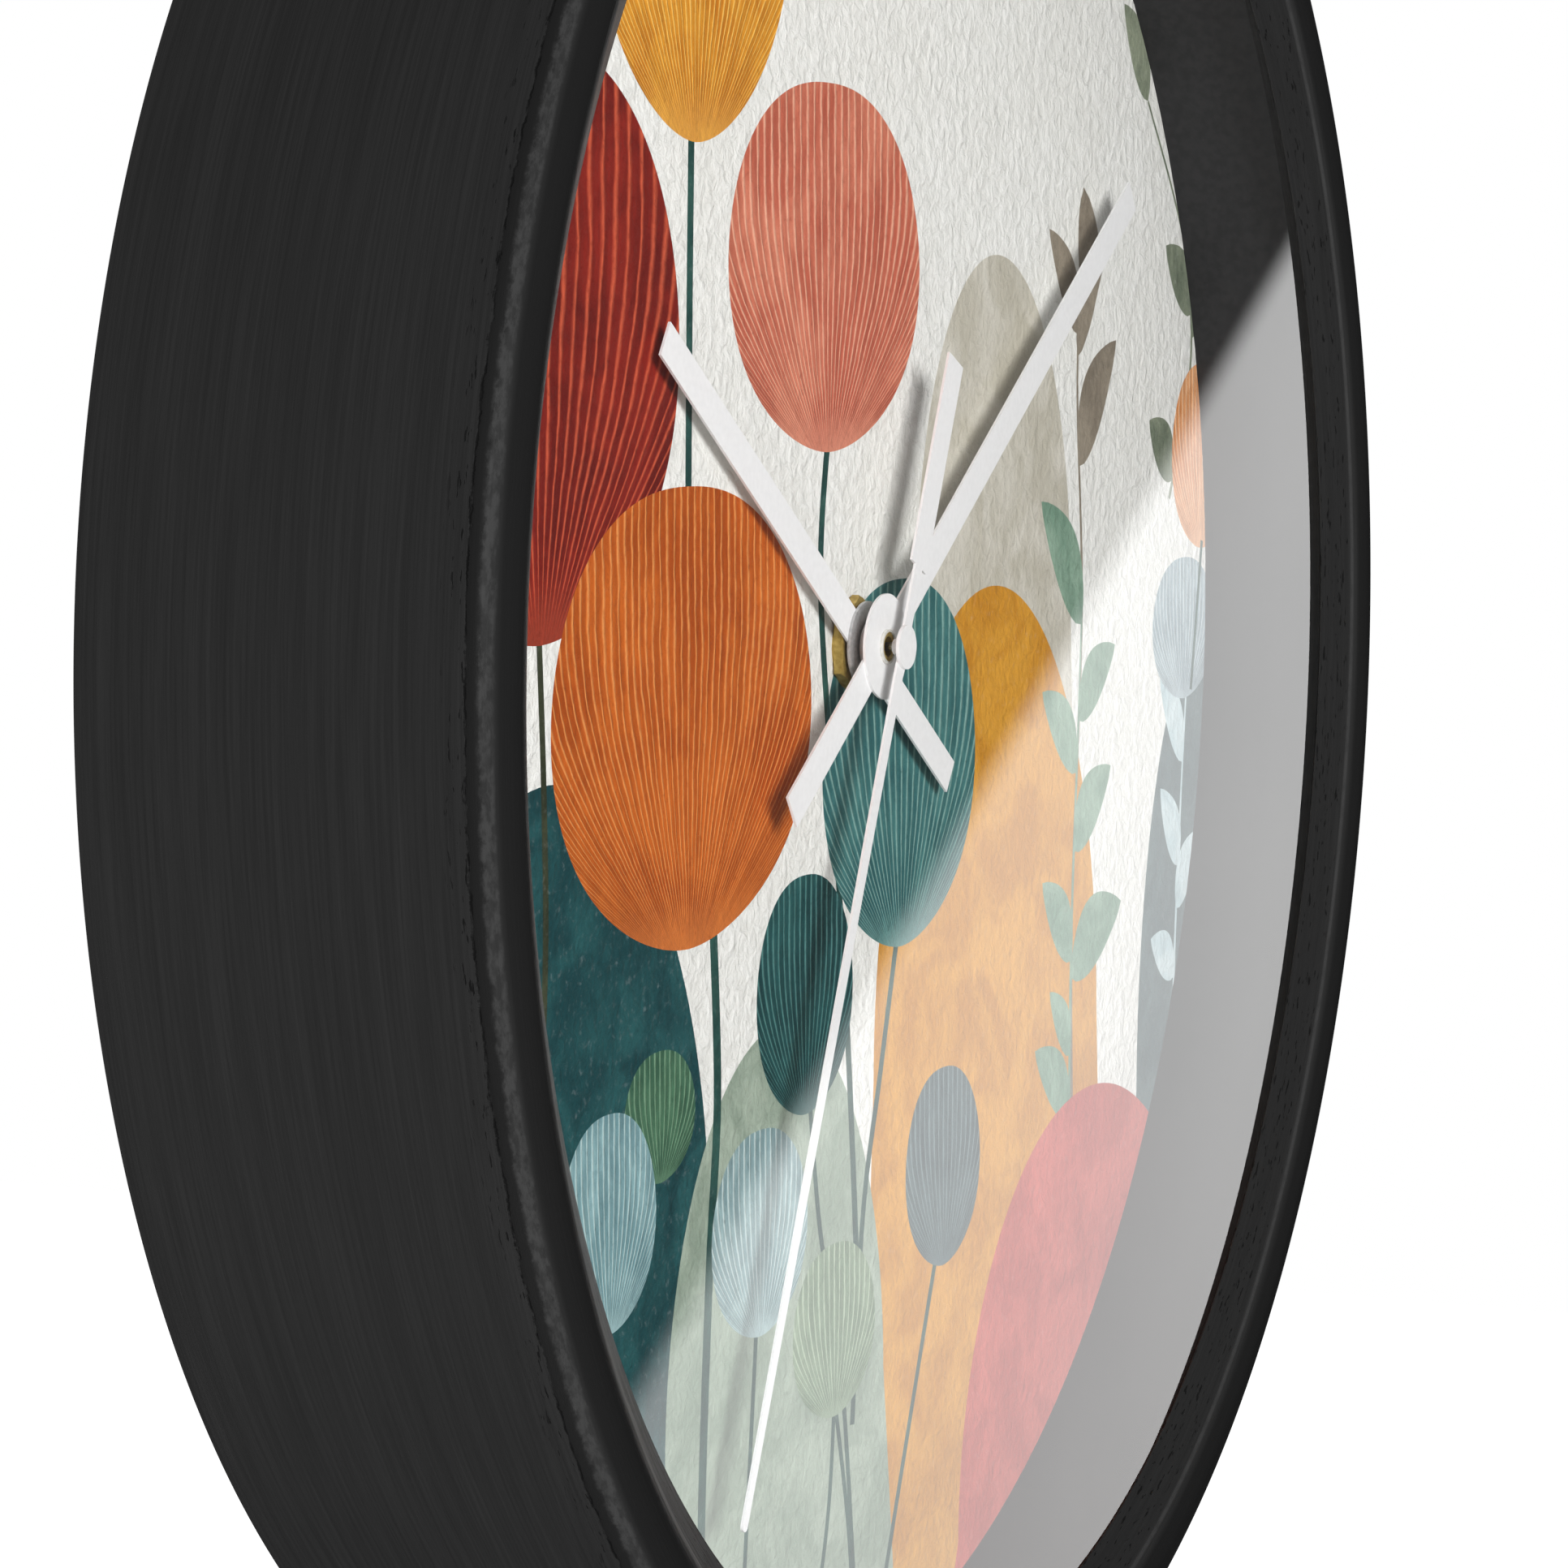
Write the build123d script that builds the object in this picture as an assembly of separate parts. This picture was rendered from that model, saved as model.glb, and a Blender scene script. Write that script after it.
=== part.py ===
"""Round wall clock: wooden rim, glass, printed dial, three hands and a battery quartz movement.

Every piece is drawn in the clock's own drawing frame: x to the right and y up as seen from the
front, z out of the wall towards the viewer, and z = 0 on the wall. write_node() then turns each
piece into the part's frame, where +Z is up, the front faces -Y and y = 0 is the wall.
Lengths are millimetres, angles are degrees, and clock angles run clockwise from twelve.
"""
from build123d import *
from math import atan2, cos, pi, radians, sin, sqrt, tan
import os

# ---- rim, glass and dial -------------------------------------------------------------------
RIM_R = 127.0               # 10 inch clock
RIM_DEPTH = 43.5
CREST_R = 122.2             # ring where the front moulding stands highest
SHOULDER_Z = 40.4           # where the straight outside wall starts to round over
BEAD_FOOT = (118.6, 42.1)   # radius and height where the rounded bead meets the chamfer
OPENING_R = 113.8
LIP_Z = 39.5                # back of the lip, which the glass rests on
LIP_EDGE = 0.15
RABBET_R = 121.2
DISC_R = 121.0              # glass, dial and board share one cutting radius
GLASS_T = 2.0
SPACER_T = 1.4
DIAL_Z = 21.2               # printed face of the dial
DIAL_T = 0.4
BOARD_T = 3.2
BOARD_Z = DIAL_Z - DIAL_T - BOARD_T

GLAZING_POINTS = 8
POINT_T = 0.4
POINT_WIDE = 9.0
POINT_LONG = 11.0
POINT_BITE = 4.2            # how far each point is driven into the wood

# ---- movement case -------------------------------------------------------------------------
CASE_W = 56.0
CASE_WALL = 1.2
CASE_BACK_Z = 1.4
CASE_SPLIT_Z = 9.0
CASE_FRONT_Z = 16.4
CASE_CORNER = 2.5
BUSH_R = 4.0
BUSH_TOP_Z = 22.65
BUSH_BORE_R = 2.66
BAY_LOW_Y = -26.8
BAY_HIGH_Y = -12.8
BAY_HALF_X = 26.8
BAY_WALL = 1.0
HANGER_HALF_X = 9.0
HANGER_TOP_Y = 43.0
HANGER_T = 2.0
HANGER_Y = 35.5
HANGER_HOLE_R = 3.5
HANGER_CORNER = 4.0
KNOB_R = 4.8
KNOB_Z = (1.5, 2.9)
KNOB_RECESS_R = 5.3
KNOB_FLOOR_Z = (3.1, 3.8)
KNOB_RECESS_WALL = 0.8
FLUTES, FLUTE_R, FLUTE_OUT = 18, 0.55, 0.25
PLATE_Z = (9.8, 10.6)       # middle plate that divides the going train from the motion work
PLATE_BOX = (-24.5, -11.0, 15.5, 17.0)
PILLARS = ((-20.0, -9.0), (13.5, -9.0), (-22.5, 6.0))
PILLAR_R = 1.2
BOSS_R = 1.2                # raised rings that the wheels and pivots stand on
BOSS_T = 0.8
PIVOT_DEPTH = 0.5           # skin of the case left behind a pivot hole
CLEARANCE = 0.1
CUT = 1.0                   # how far a cutting tool runs past what it cuts

# ---- washers and nut -----------------------------------------------------------------------
RUBBER_R = 9.0
WASHER_R = 4.95
WASHER_T = 0.3
NUT_FLATS = 10.0
NUT_T = 1.1
NUT_CORNER = 0.35           # how much is turned off the nut's front corners
DIAL_HOLE_R = 4.2

# ---- hands ---------------------------------------------------------------------------------
HOUR_ANGLE = 303.9
MINUTE_ANGLE = 56.1
SECOND_ANGLE = 204.9
HAND_T = 0.3
HOUR_LONG, HOUR_TAIL, HOUR_W = 61.8, 30.2, 4.1
MINUTE_LONG, MINUTE_TAIL, MINUTE_W = 95.2, 30.0, 4.2
SECOND_LONG, SECOND_TAIL = 101.5, 35.6
SECOND_W, SECOND_TIP_W = 2.0, 1.3
WEIGHT_W, WEIGHT_START = 4.4, 9.8
HOUR_Z = 22.9
MINUTE_Z = 25.2
SECOND_Z = 27.7
HOUR_EYE_R, HOUR_BOSS_R, HOUR_COVER_R, HOUR_COVER_T = 4.6, 3.2, 5.1, 0.35
MINUTE_EYE_R, MINUTE_BOSS_R, MINUTE_COVER_R, MINUTE_COVER_T = 5.4, 3.0, 6.0, 0.3
MINUTE_BOSS_T = 1.4         # how far the minute hand's boss reaches behind its blade
STUD_R, STUD_PROUD = 1.95, 0.15
SECOND_NECK_R, SECOND_TUBE_R, SECOND_TUBE_T = 2.0, 0.9, 0.9
CAP_R, CAP_T = 2.5, 0.4

# ---- arbors --------------------------------------------------------------------------------
HOUR_TUBE_R, HOUR_BORE_R, HOUR_TUBE_TOP = 2.6, 1.75, 23.6
MINUTE_TUBE_R, MINUTE_BORE_R, MINUTE_TUBE_TOP = 1.68, 0.58, 26.0
MINUTE_MOUTH_R, MINUTE_MOUTH_DEPTH = 1.15, 2.0
SECOND_ARBOR_R = 0.5
STEM_R = 0.8
ROTOR_ARBOR_R = 0.4
POST_R = 0.4
PIVOT_GAP = 0.05
PIVOT_START_Z = 2.1         # back end of the turning arbors, in the case's pivot holes

# ---- gears: tooth counts give 1:30 motor to seconds, 1:60 seconds to minutes, 1:12 to hours ---
ROTOR_T, STEP_T, STEP_PINION_T, SECOND_T = 8, 40, 8, 48
SECOND_PINION_T, THIRD_T, THIRD_PINION_T, CENTRE_T = 8, 60, 8, 64
MINUTE_PINION_T, MOTION_T, MOTION_PINION_T, HOUR_T = 12, 36, 10, 40
ROTOR_DISTANCE, STEP_DISTANCE, THIRD_DISTANCE, MOTION_DISTANCE = 6.72, 7.0, 9.0, 9.6
ROTOR_BEARING, STEP_BEARING, THIRD_BEARING, MOTION_BEARING = 80.0, 110.0, 180.0, 25.0
WHEEL_T = 0.8
STEP_STACK, SECOND_STACK, THIRD_STACK, MOTION_STACK = 2.6, 2.7, 2.65, 2.4  # wheel with its pinion
ROTOR_LEAF_T, MINUTE_LEAF_T = 1.4, 1.2
STEP_WHEEL_Z = 4.0
SECOND_WHEEL_Z = 5.4
THIRD_WHEEL_Z = 7.0
CENTRE_WHEEL_Z = 8.6
MOTION_WHEEL_Z = 11.4
HOUR_WHEEL_Z = 12.8
PRESSURE_ANGLE = 25.0
ADDENDUM, DEDENDUM = 0.7, 0.95
BACKLASH = 0.14             # share of a module taken off each tooth

# ---- motor and electrics -------------------------------------------------------------------
MAGNET_R = 3.0
MAGNET_Z = (5.8, 8.2)
STATOR_HOLE_R, STATOR_EYE_R = 3.6, 4.8
STATOR_Z = (6.6, 7.4)
STATOR_BOX = (-22.0, 10.8, 13.0, 15.6)
STATOR_ARM_W = 5.0
CORE_Y = 22.2
CORE_HALF_Y = 2.0
BATTERY_R, BATTERY_LONG = 6.85, 49.0
NUB_R, NUB_LONG = 2.75, 1.2
CELL_EDGE = 0.5
CELL_GAP = 0.05
CONTACT_T = 0.4
CONTACT_HALF_Y, CONTACT_Z = 4.5, (4.2, 13.2)
LEAF_HALF_Y, LEAF_Z, LEAF_TIP_Z = 3.5, (4.0, 13.6), 8.4
LEAF_FOLD, LEAF_FOLD_Z = (1.2, 1.7), 5.0
LEAF_HEAD_T = 0.8
BOARD_BOX = (16.4, -9.0, 26.4, 25.5)
CIRCUIT_Z = (4.0, 4.8)
CHIP_AT, CHIP_R, CHIP_T, CHIP_EDGE = (21.4, 3.0), 2.6, 1.0, 0.8
CRYSTAL_AT, CRYSTAL_R, CRYSTAL_LONG, CRYSTAL_EDGE = (21.4, 12.0), 1.0, 6.0, 0.3
SPOOL_HALF, CHEEK_HALF, WINDING_HALF = (2.7, 1.1), (4.3, 3.2), (3.9, 2.8)   # half height, half depth
CHEEK_T = 0.8
WINDING_CORNER = 0.9


def polar(distance, bearing):
    """A point at a distance and an angle measured anticlockwise from +x."""
    return distance * cos(radians(bearing)), distance * sin(radians(bearing))


THIRD_AT = polar(THIRD_DISTANCE, THIRD_BEARING)
STEP_AT = polar(STEP_DISTANCE, STEP_BEARING)
MOTION_AT = polar(MOTION_DISTANCE, MOTION_BEARING)
ROTOR_AT = tuple(a + b for a, b in zip(STEP_AT, polar(ROTOR_DISTANCE, ROTOR_BEARING)))


def cylinder(radius, low, high, at=(0.0, 0.0)):
    """A plain round bar between two heights."""
    bar = extrude(Circle(radius), high - low)
    return Pos(at[0], at[1], low) * bar


def hole(radius, low, high, at=(0.0, 0.0)):
    """What a drill takes away when it goes right through from low to high."""
    return cylinder(radius, low - CUT, high + CUT, at)


def tube(outer, inner, low, high, at=(0.0, 0.0)):
    """A round tube or washer between two heights."""
    return cylinder(outer, low, high, at) - hole(inner, low, high, at)


def block(x0, y0, x1, y1, low, high):
    """A box given by its corners in plan and two heights."""
    centre = Pos((x0 + x1) / 2, (y0 + y1) / 2, (low + high) / 2)
    return centre * Box(x1 - x0, y1 - y0, high - low)


def rounded_block(half, corner, low, high):
    """A square prism with rounded upright corners."""
    outline = RectangleRounded(2 * half, 2 * half, corner)
    return Pos(0, 0, low) * extrude(outline, high - low)


def module_for(distance, teeth_a, teeth_b):
    """The module at which two wheels mesh at a centre distance."""
    return 2 * distance / (teeth_a + teeth_b)


def gear(teeth, module, phase, low, high, steps=1):
    """A spur wheel with a tooth centred at the phase angle. Flanks are involutes in short chords."""
    pitch_r = module * teeth / 2
    base_r = pitch_r * cos(radians(PRESSURE_ANGLE))
    tip_r = pitch_r + ADDENDUM * module
    root_r = pitch_r - DEDENDUM * module
    start_r = max(base_r, root_r + 0.02 * module)
    pitch_roll = tan(radians(PRESSURE_ANGLE)) - radians(PRESSURE_ANGLE)
    half_at_pitch = (pi / 2 - BACKLASH) / teeth
    flank = []
    for step in range(steps + 1):
        radius = start_r + (tip_r - start_r) * step / steps
        roll = sqrt((radius / base_r) ** 2 - 1)
        half = half_at_pitch + pitch_roll - (roll - atan2(roll, 1))
        flank.append((radius, half))
    root_half = flank[0][1]
    outline = []
    for tooth in range(teeth):
        middle = radians(phase) + 2 * pi * tooth / teeth
        sides = [(root_r, -root_half)]
        sides += [(radius, -half) for radius, half in flank]
        sides += [(radius, half) for radius, half in reversed(flank)]
        sides += [(root_r, root_half)]
        outline += [(radius * cos(middle + a), radius * sin(middle + a)) for radius, a in sides]
    return Pos(0, 0, low) * extrude(make_face(Polyline(*outline, close=True)), high - low)


def facing(bearing, teeth):
    """The phase that puts a gap opposite the partner's tooth, on the far side of its bearing."""
    return bearing + 180.0 + 180.0 / teeth


def placed(shape, at):
    """A shape moved in plan only."""
    return Pos(at[0], at[1], 0) * shape


# ---- rim and what it holds -----------------------------------------------------------------
def make_frame():
    """The turned wooden rim, rebated from the back, with slits for the glazing points."""
    crest = (CREST_R, RIM_DEPTH)
    shoulder = (RIM_R, SHOULDER_Z)
    lip_top = (OPENING_R, LIP_Z + LIP_EDGE)
    wall = Polyline((RABBET_R, 0), (RIM_R, 0), shoulder)
    outside = Spline(shoulder, crest, tangents=((0, 1), (-1, 0)))
    inside = Spline(crest, BEAD_FOOT, tangents=((-1, 0), (-0.8, -0.6)))
    rebate = Polyline(BEAD_FOOT, lip_top, (OPENING_R, LIP_Z), (RABBET_R, LIP_Z), (RABBET_R, 0))
    section = make_face(Curve() + [wall, outside, inside, rebate])
    rim = revolve(Plane.XZ * section, Axis.Z)
    return rim - make_glazing_points()


def make_glazing_points():
    """Flat steel points driven into the wood behind the backing board."""
    middle_r = RABBET_R + POINT_BITE - POINT_LONG / 2
    point = Pos(middle_r, 0, BOARD_Z - POINT_T / 2) * Box(POINT_LONG, POINT_WIDE, POINT_T)
    turns = [360.0 / GLAZING_POINTS * (i + 0.5) for i in range(GLAZING_POINTS)]
    return Compound(children=[Rot(0, 0, turn) * point for turn in turns])


def make_backing_board():
    return tube(DISC_R, DIAL_HOLE_R, BOARD_Z, BOARD_Z + BOARD_T)


def make_dial():
    return tube(DISC_R, DIAL_HOLE_R, DIAL_Z - DIAL_T, DIAL_Z)


def make_spacer_ring():
    return tube(DISC_R, DISC_R - SPACER_T, DIAL_Z, LIP_Z - GLASS_T)


def make_lens():
    return cylinder(DISC_R, LIP_Z - GLASS_T, LIP_Z)


# ---- washers and nut -----------------------------------------------------------------------
def make_rubber_washer():
    return tube(RUBBER_R, BUSH_R + CLEARANCE, CASE_FRONT_Z, BOARD_Z)


def make_front_washer():
    return tube(WASHER_R, BUSH_R + CLEARANCE, DIAL_Z, DIAL_Z + WASHER_T)


def make_hex_nut():
    """A brass nut with its front corners turned off."""
    low = DIAL_Z + WASHER_T
    hexagon = RegularPolygon(NUT_FLATS / 2, 6, major_radius=False, rotation=30)
    nut = Pos(0, 0, low) * extrude(hexagon, NUT_T)
    corner_r = NUT_FLATS / sqrt(3)
    turned = Pos(0, 0, low) * Cone(corner_r + NUT_T, corner_r - NUT_CORNER, NUT_T,
                                   align=(Align.CENTER, Align.CENTER, Align.MIN))
    return (nut & turned) - hole(BUSH_R, low, low + NUT_T)


# ---- movement case -------------------------------------------------------------------------
def make_case_front():
    """The front half of the case, with the threaded bush and the front wall of the battery bay."""
    half = CASE_W / 2
    shell = rounded_block(half, CASE_CORNER, CASE_SPLIT_Z, CASE_FRONT_Z)
    hollow_top = CASE_FRONT_Z - CASE_WALL
    shell -= rounded_block(half - CASE_WALL, CASE_CORNER - CASE_WALL, CASE_SPLIT_Z - CUT, hollow_top)
    shell += block(-BAY_HALF_X, BAY_HIGH_Y, BAY_HALF_X, BAY_HIGH_Y + BAY_WALL, CASE_SPLIT_Z, hollow_top)
    shell += cylinder(BUSH_R, hollow_top, BUSH_TOP_Z)
    shell += cylinder(BOSS_R + BOSS_T, hollow_top - 1.25 * BOSS_T, hollow_top, MOTION_AT)
    shell -= hole(BUSH_BORE_R, hollow_top, BUSH_TOP_Z)
    shell -= cylinder(STEM_R + PIVOT_GAP, CASE_SPLIT_Z, CASE_FRONT_Z - PIVOT_DEPTH, MOTION_AT)
    return shell


def make_case_back():
    """The back half: knob recess, pivots, open battery bay and the hanging tab with its nail hole."""
    half = CASE_W / 2
    floor = CASE_BACK_Z + CASE_WALL
    shell = rounded_block(half, CASE_CORNER, CASE_BACK_Z, CASE_SPLIT_Z)
    shell -= rounded_block(half - CASE_WALL, CASE_CORNER - CASE_WALL, floor, CASE_SPLIT_Z + CUT)
    shell -= block(-BAY_HALF_X, BAY_LOW_Y, BAY_HALF_X, BAY_HIGH_Y, CASE_BACK_Z - CUT, floor + CUT)
    shell += block(-BAY_HALF_X, BAY_HIGH_Y, BAY_HALF_X, BAY_HIGH_Y + BAY_WALL, CASE_BACK_Z, CASE_SPLIT_Z)
    shell += cylinder(KNOB_RECESS_R + KNOB_RECESS_WALL, CASE_BACK_Z, KNOB_FLOOR_Z[1], MOTION_AT)
    shell -= cylinder(KNOB_RECESS_R, CASE_BACK_Z - CUT, KNOB_FLOOR_Z[0], MOTION_AT)
    shell -= hole(STEM_R + PIVOT_GAP, *KNOB_FLOOR_Z, MOTION_AT)
    for pillar in PILLARS:
        shell += cylinder(PILLAR_R, floor, PLATE_Z[0], pillar)
    shell += cylinder(BOSS_R, floor, STEP_WHEEL_Z - CLEARANCE, STEP_AT)
    shell += cylinder(POST_R, floor, STEP_WHEEL_Z + STEP_STACK + 3 * CLEARANCE, STEP_AT)
    shell += cylinder(BOSS_R, floor, THIRD_WHEEL_Z - CLEARANCE, THIRD_AT)
    shell += cylinder(POST_R, floor, PLATE_Z[0] - CLEARANCE, THIRD_AT)
    pivot_low, pivot_high = CASE_BACK_Z + PIVOT_DEPTH, floor + BOSS_T + CUT
    shell += cylinder(BOSS_R, floor, floor + BOSS_T)
    shell += cylinder(BOSS_R, floor, floor + BOSS_T, ROTOR_AT)
    shell -= cylinder(SECOND_ARBOR_R + PIVOT_GAP, pivot_low, pivot_high)
    shell -= cylinder(ROTOR_ARBOR_R + PIVOT_GAP, pivot_low, pivot_high, ROTOR_AT)
    return shell + make_hanger_tab()


def make_hanger_tab():
    """The flat tab on top of the case. Its round hole drops over the head of a nail."""
    half = CASE_W / 2
    outline = RectangleRounded(2 * HANGER_HALF_X, 2 * (HANGER_TOP_Y - half), HANGER_CORNER)
    tab = Pos(0, half, CASE_BACK_Z) * extrude(outline, HANGER_T)
    tab -= block(-half, 0, half, half, CASE_BACK_Z - CUT, CASE_BACK_Z + HANGER_T + CUT)
    return tab - hole(HANGER_HOLE_R, CASE_BACK_Z, CASE_BACK_Z + HANGER_T, (0, HANGER_Y))


def make_middle_plate():
    x0, y0, x1, y1 = PLATE_BOX
    plate = block(x0, y0, x1, y1, *PLATE_Z)
    plate -= hole(MINUTE_TUBE_R + PIVOT_GAP, *PLATE_Z)
    plate -= hole(STEM_R + PIVOT_GAP, *PLATE_Z, MOTION_AT)
    return plate - hole(ROTOR_ARBOR_R + PIVOT_GAP, *PLATE_Z, ROTOR_AT)


# ---- motor and electrics -------------------------------------------------------------------
def make_rotor_magnet():
    return tube(MAGNET_R, 2 * ROTOR_ARBOR_R, *MAGNET_Z, ROTOR_AT)


def make_rotor_pinion():
    """The moulded rotor arbor with its eight-leaf pinion."""
    module = module_for(ROTOR_DISTANCE, ROTOR_T, STEP_T)
    low = STEP_WHEEL_Z - 2 * CLEARANCE
    leaves = placed(gear(ROTOR_T, module, ROTOR_BEARING + 180, low, low + ROTOR_LEAF_T, steps=3), ROTOR_AT)
    hub = cylinder(2 * ROTOR_ARBOR_R, low, MAGNET_Z[1] + 2 * CLEARANCE, ROTOR_AT)
    return leaves + hub + cylinder(ROTOR_ARBOR_R, PIVOT_START_Z, PLATE_Z[1], ROTOR_AT)


def make_stator():
    """A flat steel loop: the strip with the rotor eye, two arms and the coil core."""
    x0, y0, x1, y1 = STATOR_BOX
    top = CORE_Y + CORE_HALF_Y
    loop = block(x0, y0, x1, y1, *STATOR_Z)
    loop += cylinder(STATOR_EYE_R, *STATOR_Z, ROTOR_AT)
    loop += block(x0, y0, x0 + STATOR_ARM_W, top, *STATOR_Z)
    loop += block(x1 - STATOR_ARM_W, y0, x1, top, *STATOR_Z)
    loop += block(x0, CORE_Y - CORE_HALF_Y, x1, top, *STATOR_Z)
    return loop - hole(STATOR_HOLE_R, *STATOR_Z, ROTOR_AT)


def coil_sleeve(x0, x1, outer_half, inner_half):
    """A rectangular sleeve round the coil core, from its half height and half depth."""
    middle = sum(STATOR_Z) / 2
    outer = block(x0, CORE_Y - outer_half[0], x1, CORE_Y + outer_half[0],
                  middle - outer_half[1], middle + outer_half[1])
    inner = block(x0 - CUT, CORE_Y - inner_half[0], x1 + CUT, CORE_Y + inner_half[0],
                  middle - inner_half[1], middle + inner_half[1])
    return outer - inner


def make_coil_bobbin():
    """A spool on the coil core with a cheek at each end."""
    x0, x1 = STATOR_BOX[0] + STATOR_ARM_W, STATOR_BOX[2] - STATOR_ARM_W
    core_half = (CORE_HALF_Y, (STATOR_Z[1] - STATOR_Z[0]) / 2)
    spool = coil_sleeve(x0, x1, SPOOL_HALF, core_half)
    for start in (x0, x1 - CHEEK_T):
        spool += coil_sleeve(start, start + CHEEK_T, CHEEK_HALF, core_half)
    return spool


def make_coil_winding():
    x0, x1 = STATOR_BOX[0] + STATOR_ARM_W + CHEEK_T, STATOR_BOX[2] - STATOR_ARM_W - CHEEK_T
    winding = coil_sleeve(x0, x1, WINDING_HALF, SPOOL_HALF)
    return fillet(winding.edges().filter_by(Axis.X).group_by(SortBy.DISTANCE)[-1], WINDING_CORNER)


def make_circuit_board():
    x0, y0, x1, y1 = BOARD_BOX
    return block(x0, y0, x1, y1, *CIRCUIT_Z)


def make_chip():
    """The round blob of resin over the clock chip."""
    blob = cylinder(CHIP_R, CIRCUIT_Z[1], CIRCUIT_Z[1] + CHIP_T, CHIP_AT)
    return fillet(blob.edges().group_by(Axis.Z)[-1], CHIP_EDGE)


def make_crystal():
    """The small metal can of the quartz crystal, lying on the board."""
    lying = Pos(*CRYSTAL_AT, CIRCUIT_Z[1] + CRYSTAL_R) * Rot(-90, 0, 0)
    can = lying * extrude(Circle(CRYSTAL_R), CRYSTAL_LONG)
    return fillet(can.edges().group_by(Axis.Y)[-1], CRYSTAL_EDGE)


def make_battery():
    """An AA cell lying along x, positive end to the right."""
    middle_y = (BAY_LOW_Y + BAY_HIGH_Y) / 2
    middle_z = CASE_FRONT_Z - CASE_WALL - BATTERY_R - CELL_GAP
    start = BAY_HALF_X - CONTACT_T - NUB_LONG - BATTERY_LONG
    along_x = Pos(start, middle_y, middle_z) * Rot(0, 90, 0)
    can = fillet(extrude(Circle(BATTERY_R), BATTERY_LONG).edges(), CELL_EDGE)
    return along_x * (can + extrude(Circle(NUB_R), BATTERY_LONG + NUB_LONG))


def make_contact_positive():
    middle_y = (BAY_LOW_Y + BAY_HIGH_Y) / 2
    return block(BAY_HALF_X - CONTACT_T, middle_y - CONTACT_HALF_Y,
                 BAY_HALF_X, middle_y + CONTACT_HALF_Y, *CONTACT_Z)


def make_contact_negative():
    """A leaf bent into a shallow V that pushes on the flat end of the cell."""
    middle_y = (BAY_LOW_Y + BAY_HIGH_Y) / 2
    back = -BAY_HALF_X
    reach = BAY_HALF_X - CONTACT_T - NUB_LONG - BATTERY_LONG
    foot_z, head_z = LEAF_Z
    face = back + CONTACT_T
    fold_back, fold_front = (back + offset for offset in LEAF_FOLD)
    outline = Polyline((back, foot_z), (face, foot_z), (face, head_z - LEAF_HEAD_T),
                       (reach - LEAF_FOLD[1] + LEAF_FOLD[0], LEAF_TIP_Z),
                       (fold_back, LEAF_FOLD_Z), (fold_front, LEAF_FOLD_Z),
                       (reach, LEAF_TIP_Z), (face, head_z), (back, head_z), close=True)
    leaf = extrude(Plane.XZ * make_face(outline), LEAF_HALF_Y, both=True)
    return Pos(0, middle_y, 0) * leaf


# ---- going train ---------------------------------------------------------------------------
def wheel_and_pinion(wheel, pinion, bore_r, low, high, at):
    """A moulded wheel with its pinion, turning on a fixed post."""
    return placed(wheel + pinion, at) - hole(bore_r, low, high, at)


def make_step_wheel():
    wheel_module = module_for(ROTOR_DISTANCE, ROTOR_T, STEP_T)
    pinion_module = module_for(STEP_DISTANCE, STEP_PINION_T, SECOND_T)
    low, mid, high = STEP_WHEEL_Z, STEP_WHEEL_Z + WHEEL_T, STEP_WHEEL_Z + STEP_STACK
    wheel = gear(STEP_T, wheel_module, ROTOR_BEARING + 180.0 / STEP_T, low, mid)
    pinion = gear(STEP_PINION_T, pinion_module, STEP_BEARING + 180, mid, high, steps=3)
    return wheel_and_pinion(wheel, pinion, POST_R + PIVOT_GAP, low, high, STEP_AT)


def make_second_wheel():
    wheel_module = module_for(STEP_DISTANCE, STEP_PINION_T, SECOND_T)
    pinion_module = module_for(THIRD_DISTANCE, SECOND_PINION_T, THIRD_T)
    low, mid, high = SECOND_WHEEL_Z, SECOND_WHEEL_Z + WHEEL_T, SECOND_WHEEL_Z + SECOND_STACK
    wheel = gear(SECOND_T, wheel_module, STEP_BEARING + 180.0 / SECOND_T, low, mid)
    pinion = gear(SECOND_PINION_T, pinion_module, THIRD_BEARING, mid, high, steps=3)
    return wheel + pinion - hole(SECOND_ARBOR_R, low, high)


def make_third_wheel():
    wheel_module = module_for(THIRD_DISTANCE, SECOND_PINION_T, THIRD_T)
    pinion_module = module_for(THIRD_DISTANCE, THIRD_PINION_T, CENTRE_T)
    low, mid, high = THIRD_WHEEL_Z, THIRD_WHEEL_Z + WHEEL_T, THIRD_WHEEL_Z + THIRD_STACK
    wheel = gear(THIRD_T, wheel_module, facing(THIRD_BEARING, THIRD_T), low, mid)
    pinion = gear(THIRD_PINION_T, pinion_module, THIRD_BEARING + 180, mid, high, steps=3)
    return wheel_and_pinion(wheel, pinion, POST_R + PIVOT_GAP, low, high, THIRD_AT)


def make_second_arbor():
    return cylinder(SECOND_ARBOR_R, PIVOT_START_Z, SECOND_Z + HAND_T)


def make_centre_wheel():
    """The wheel that carries the minute tube round through a friction fit."""
    module = module_for(THIRD_DISTANCE, THIRD_PINION_T, CENTRE_T)
    low = CENTRE_WHEEL_Z
    wheel = gear(CENTRE_T, module, THIRD_BEARING + 180.0 / CENTRE_T, low, low + WHEEL_T)
    return wheel - hole(MINUTE_TUBE_R, low, low + WHEEL_T)


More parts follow.
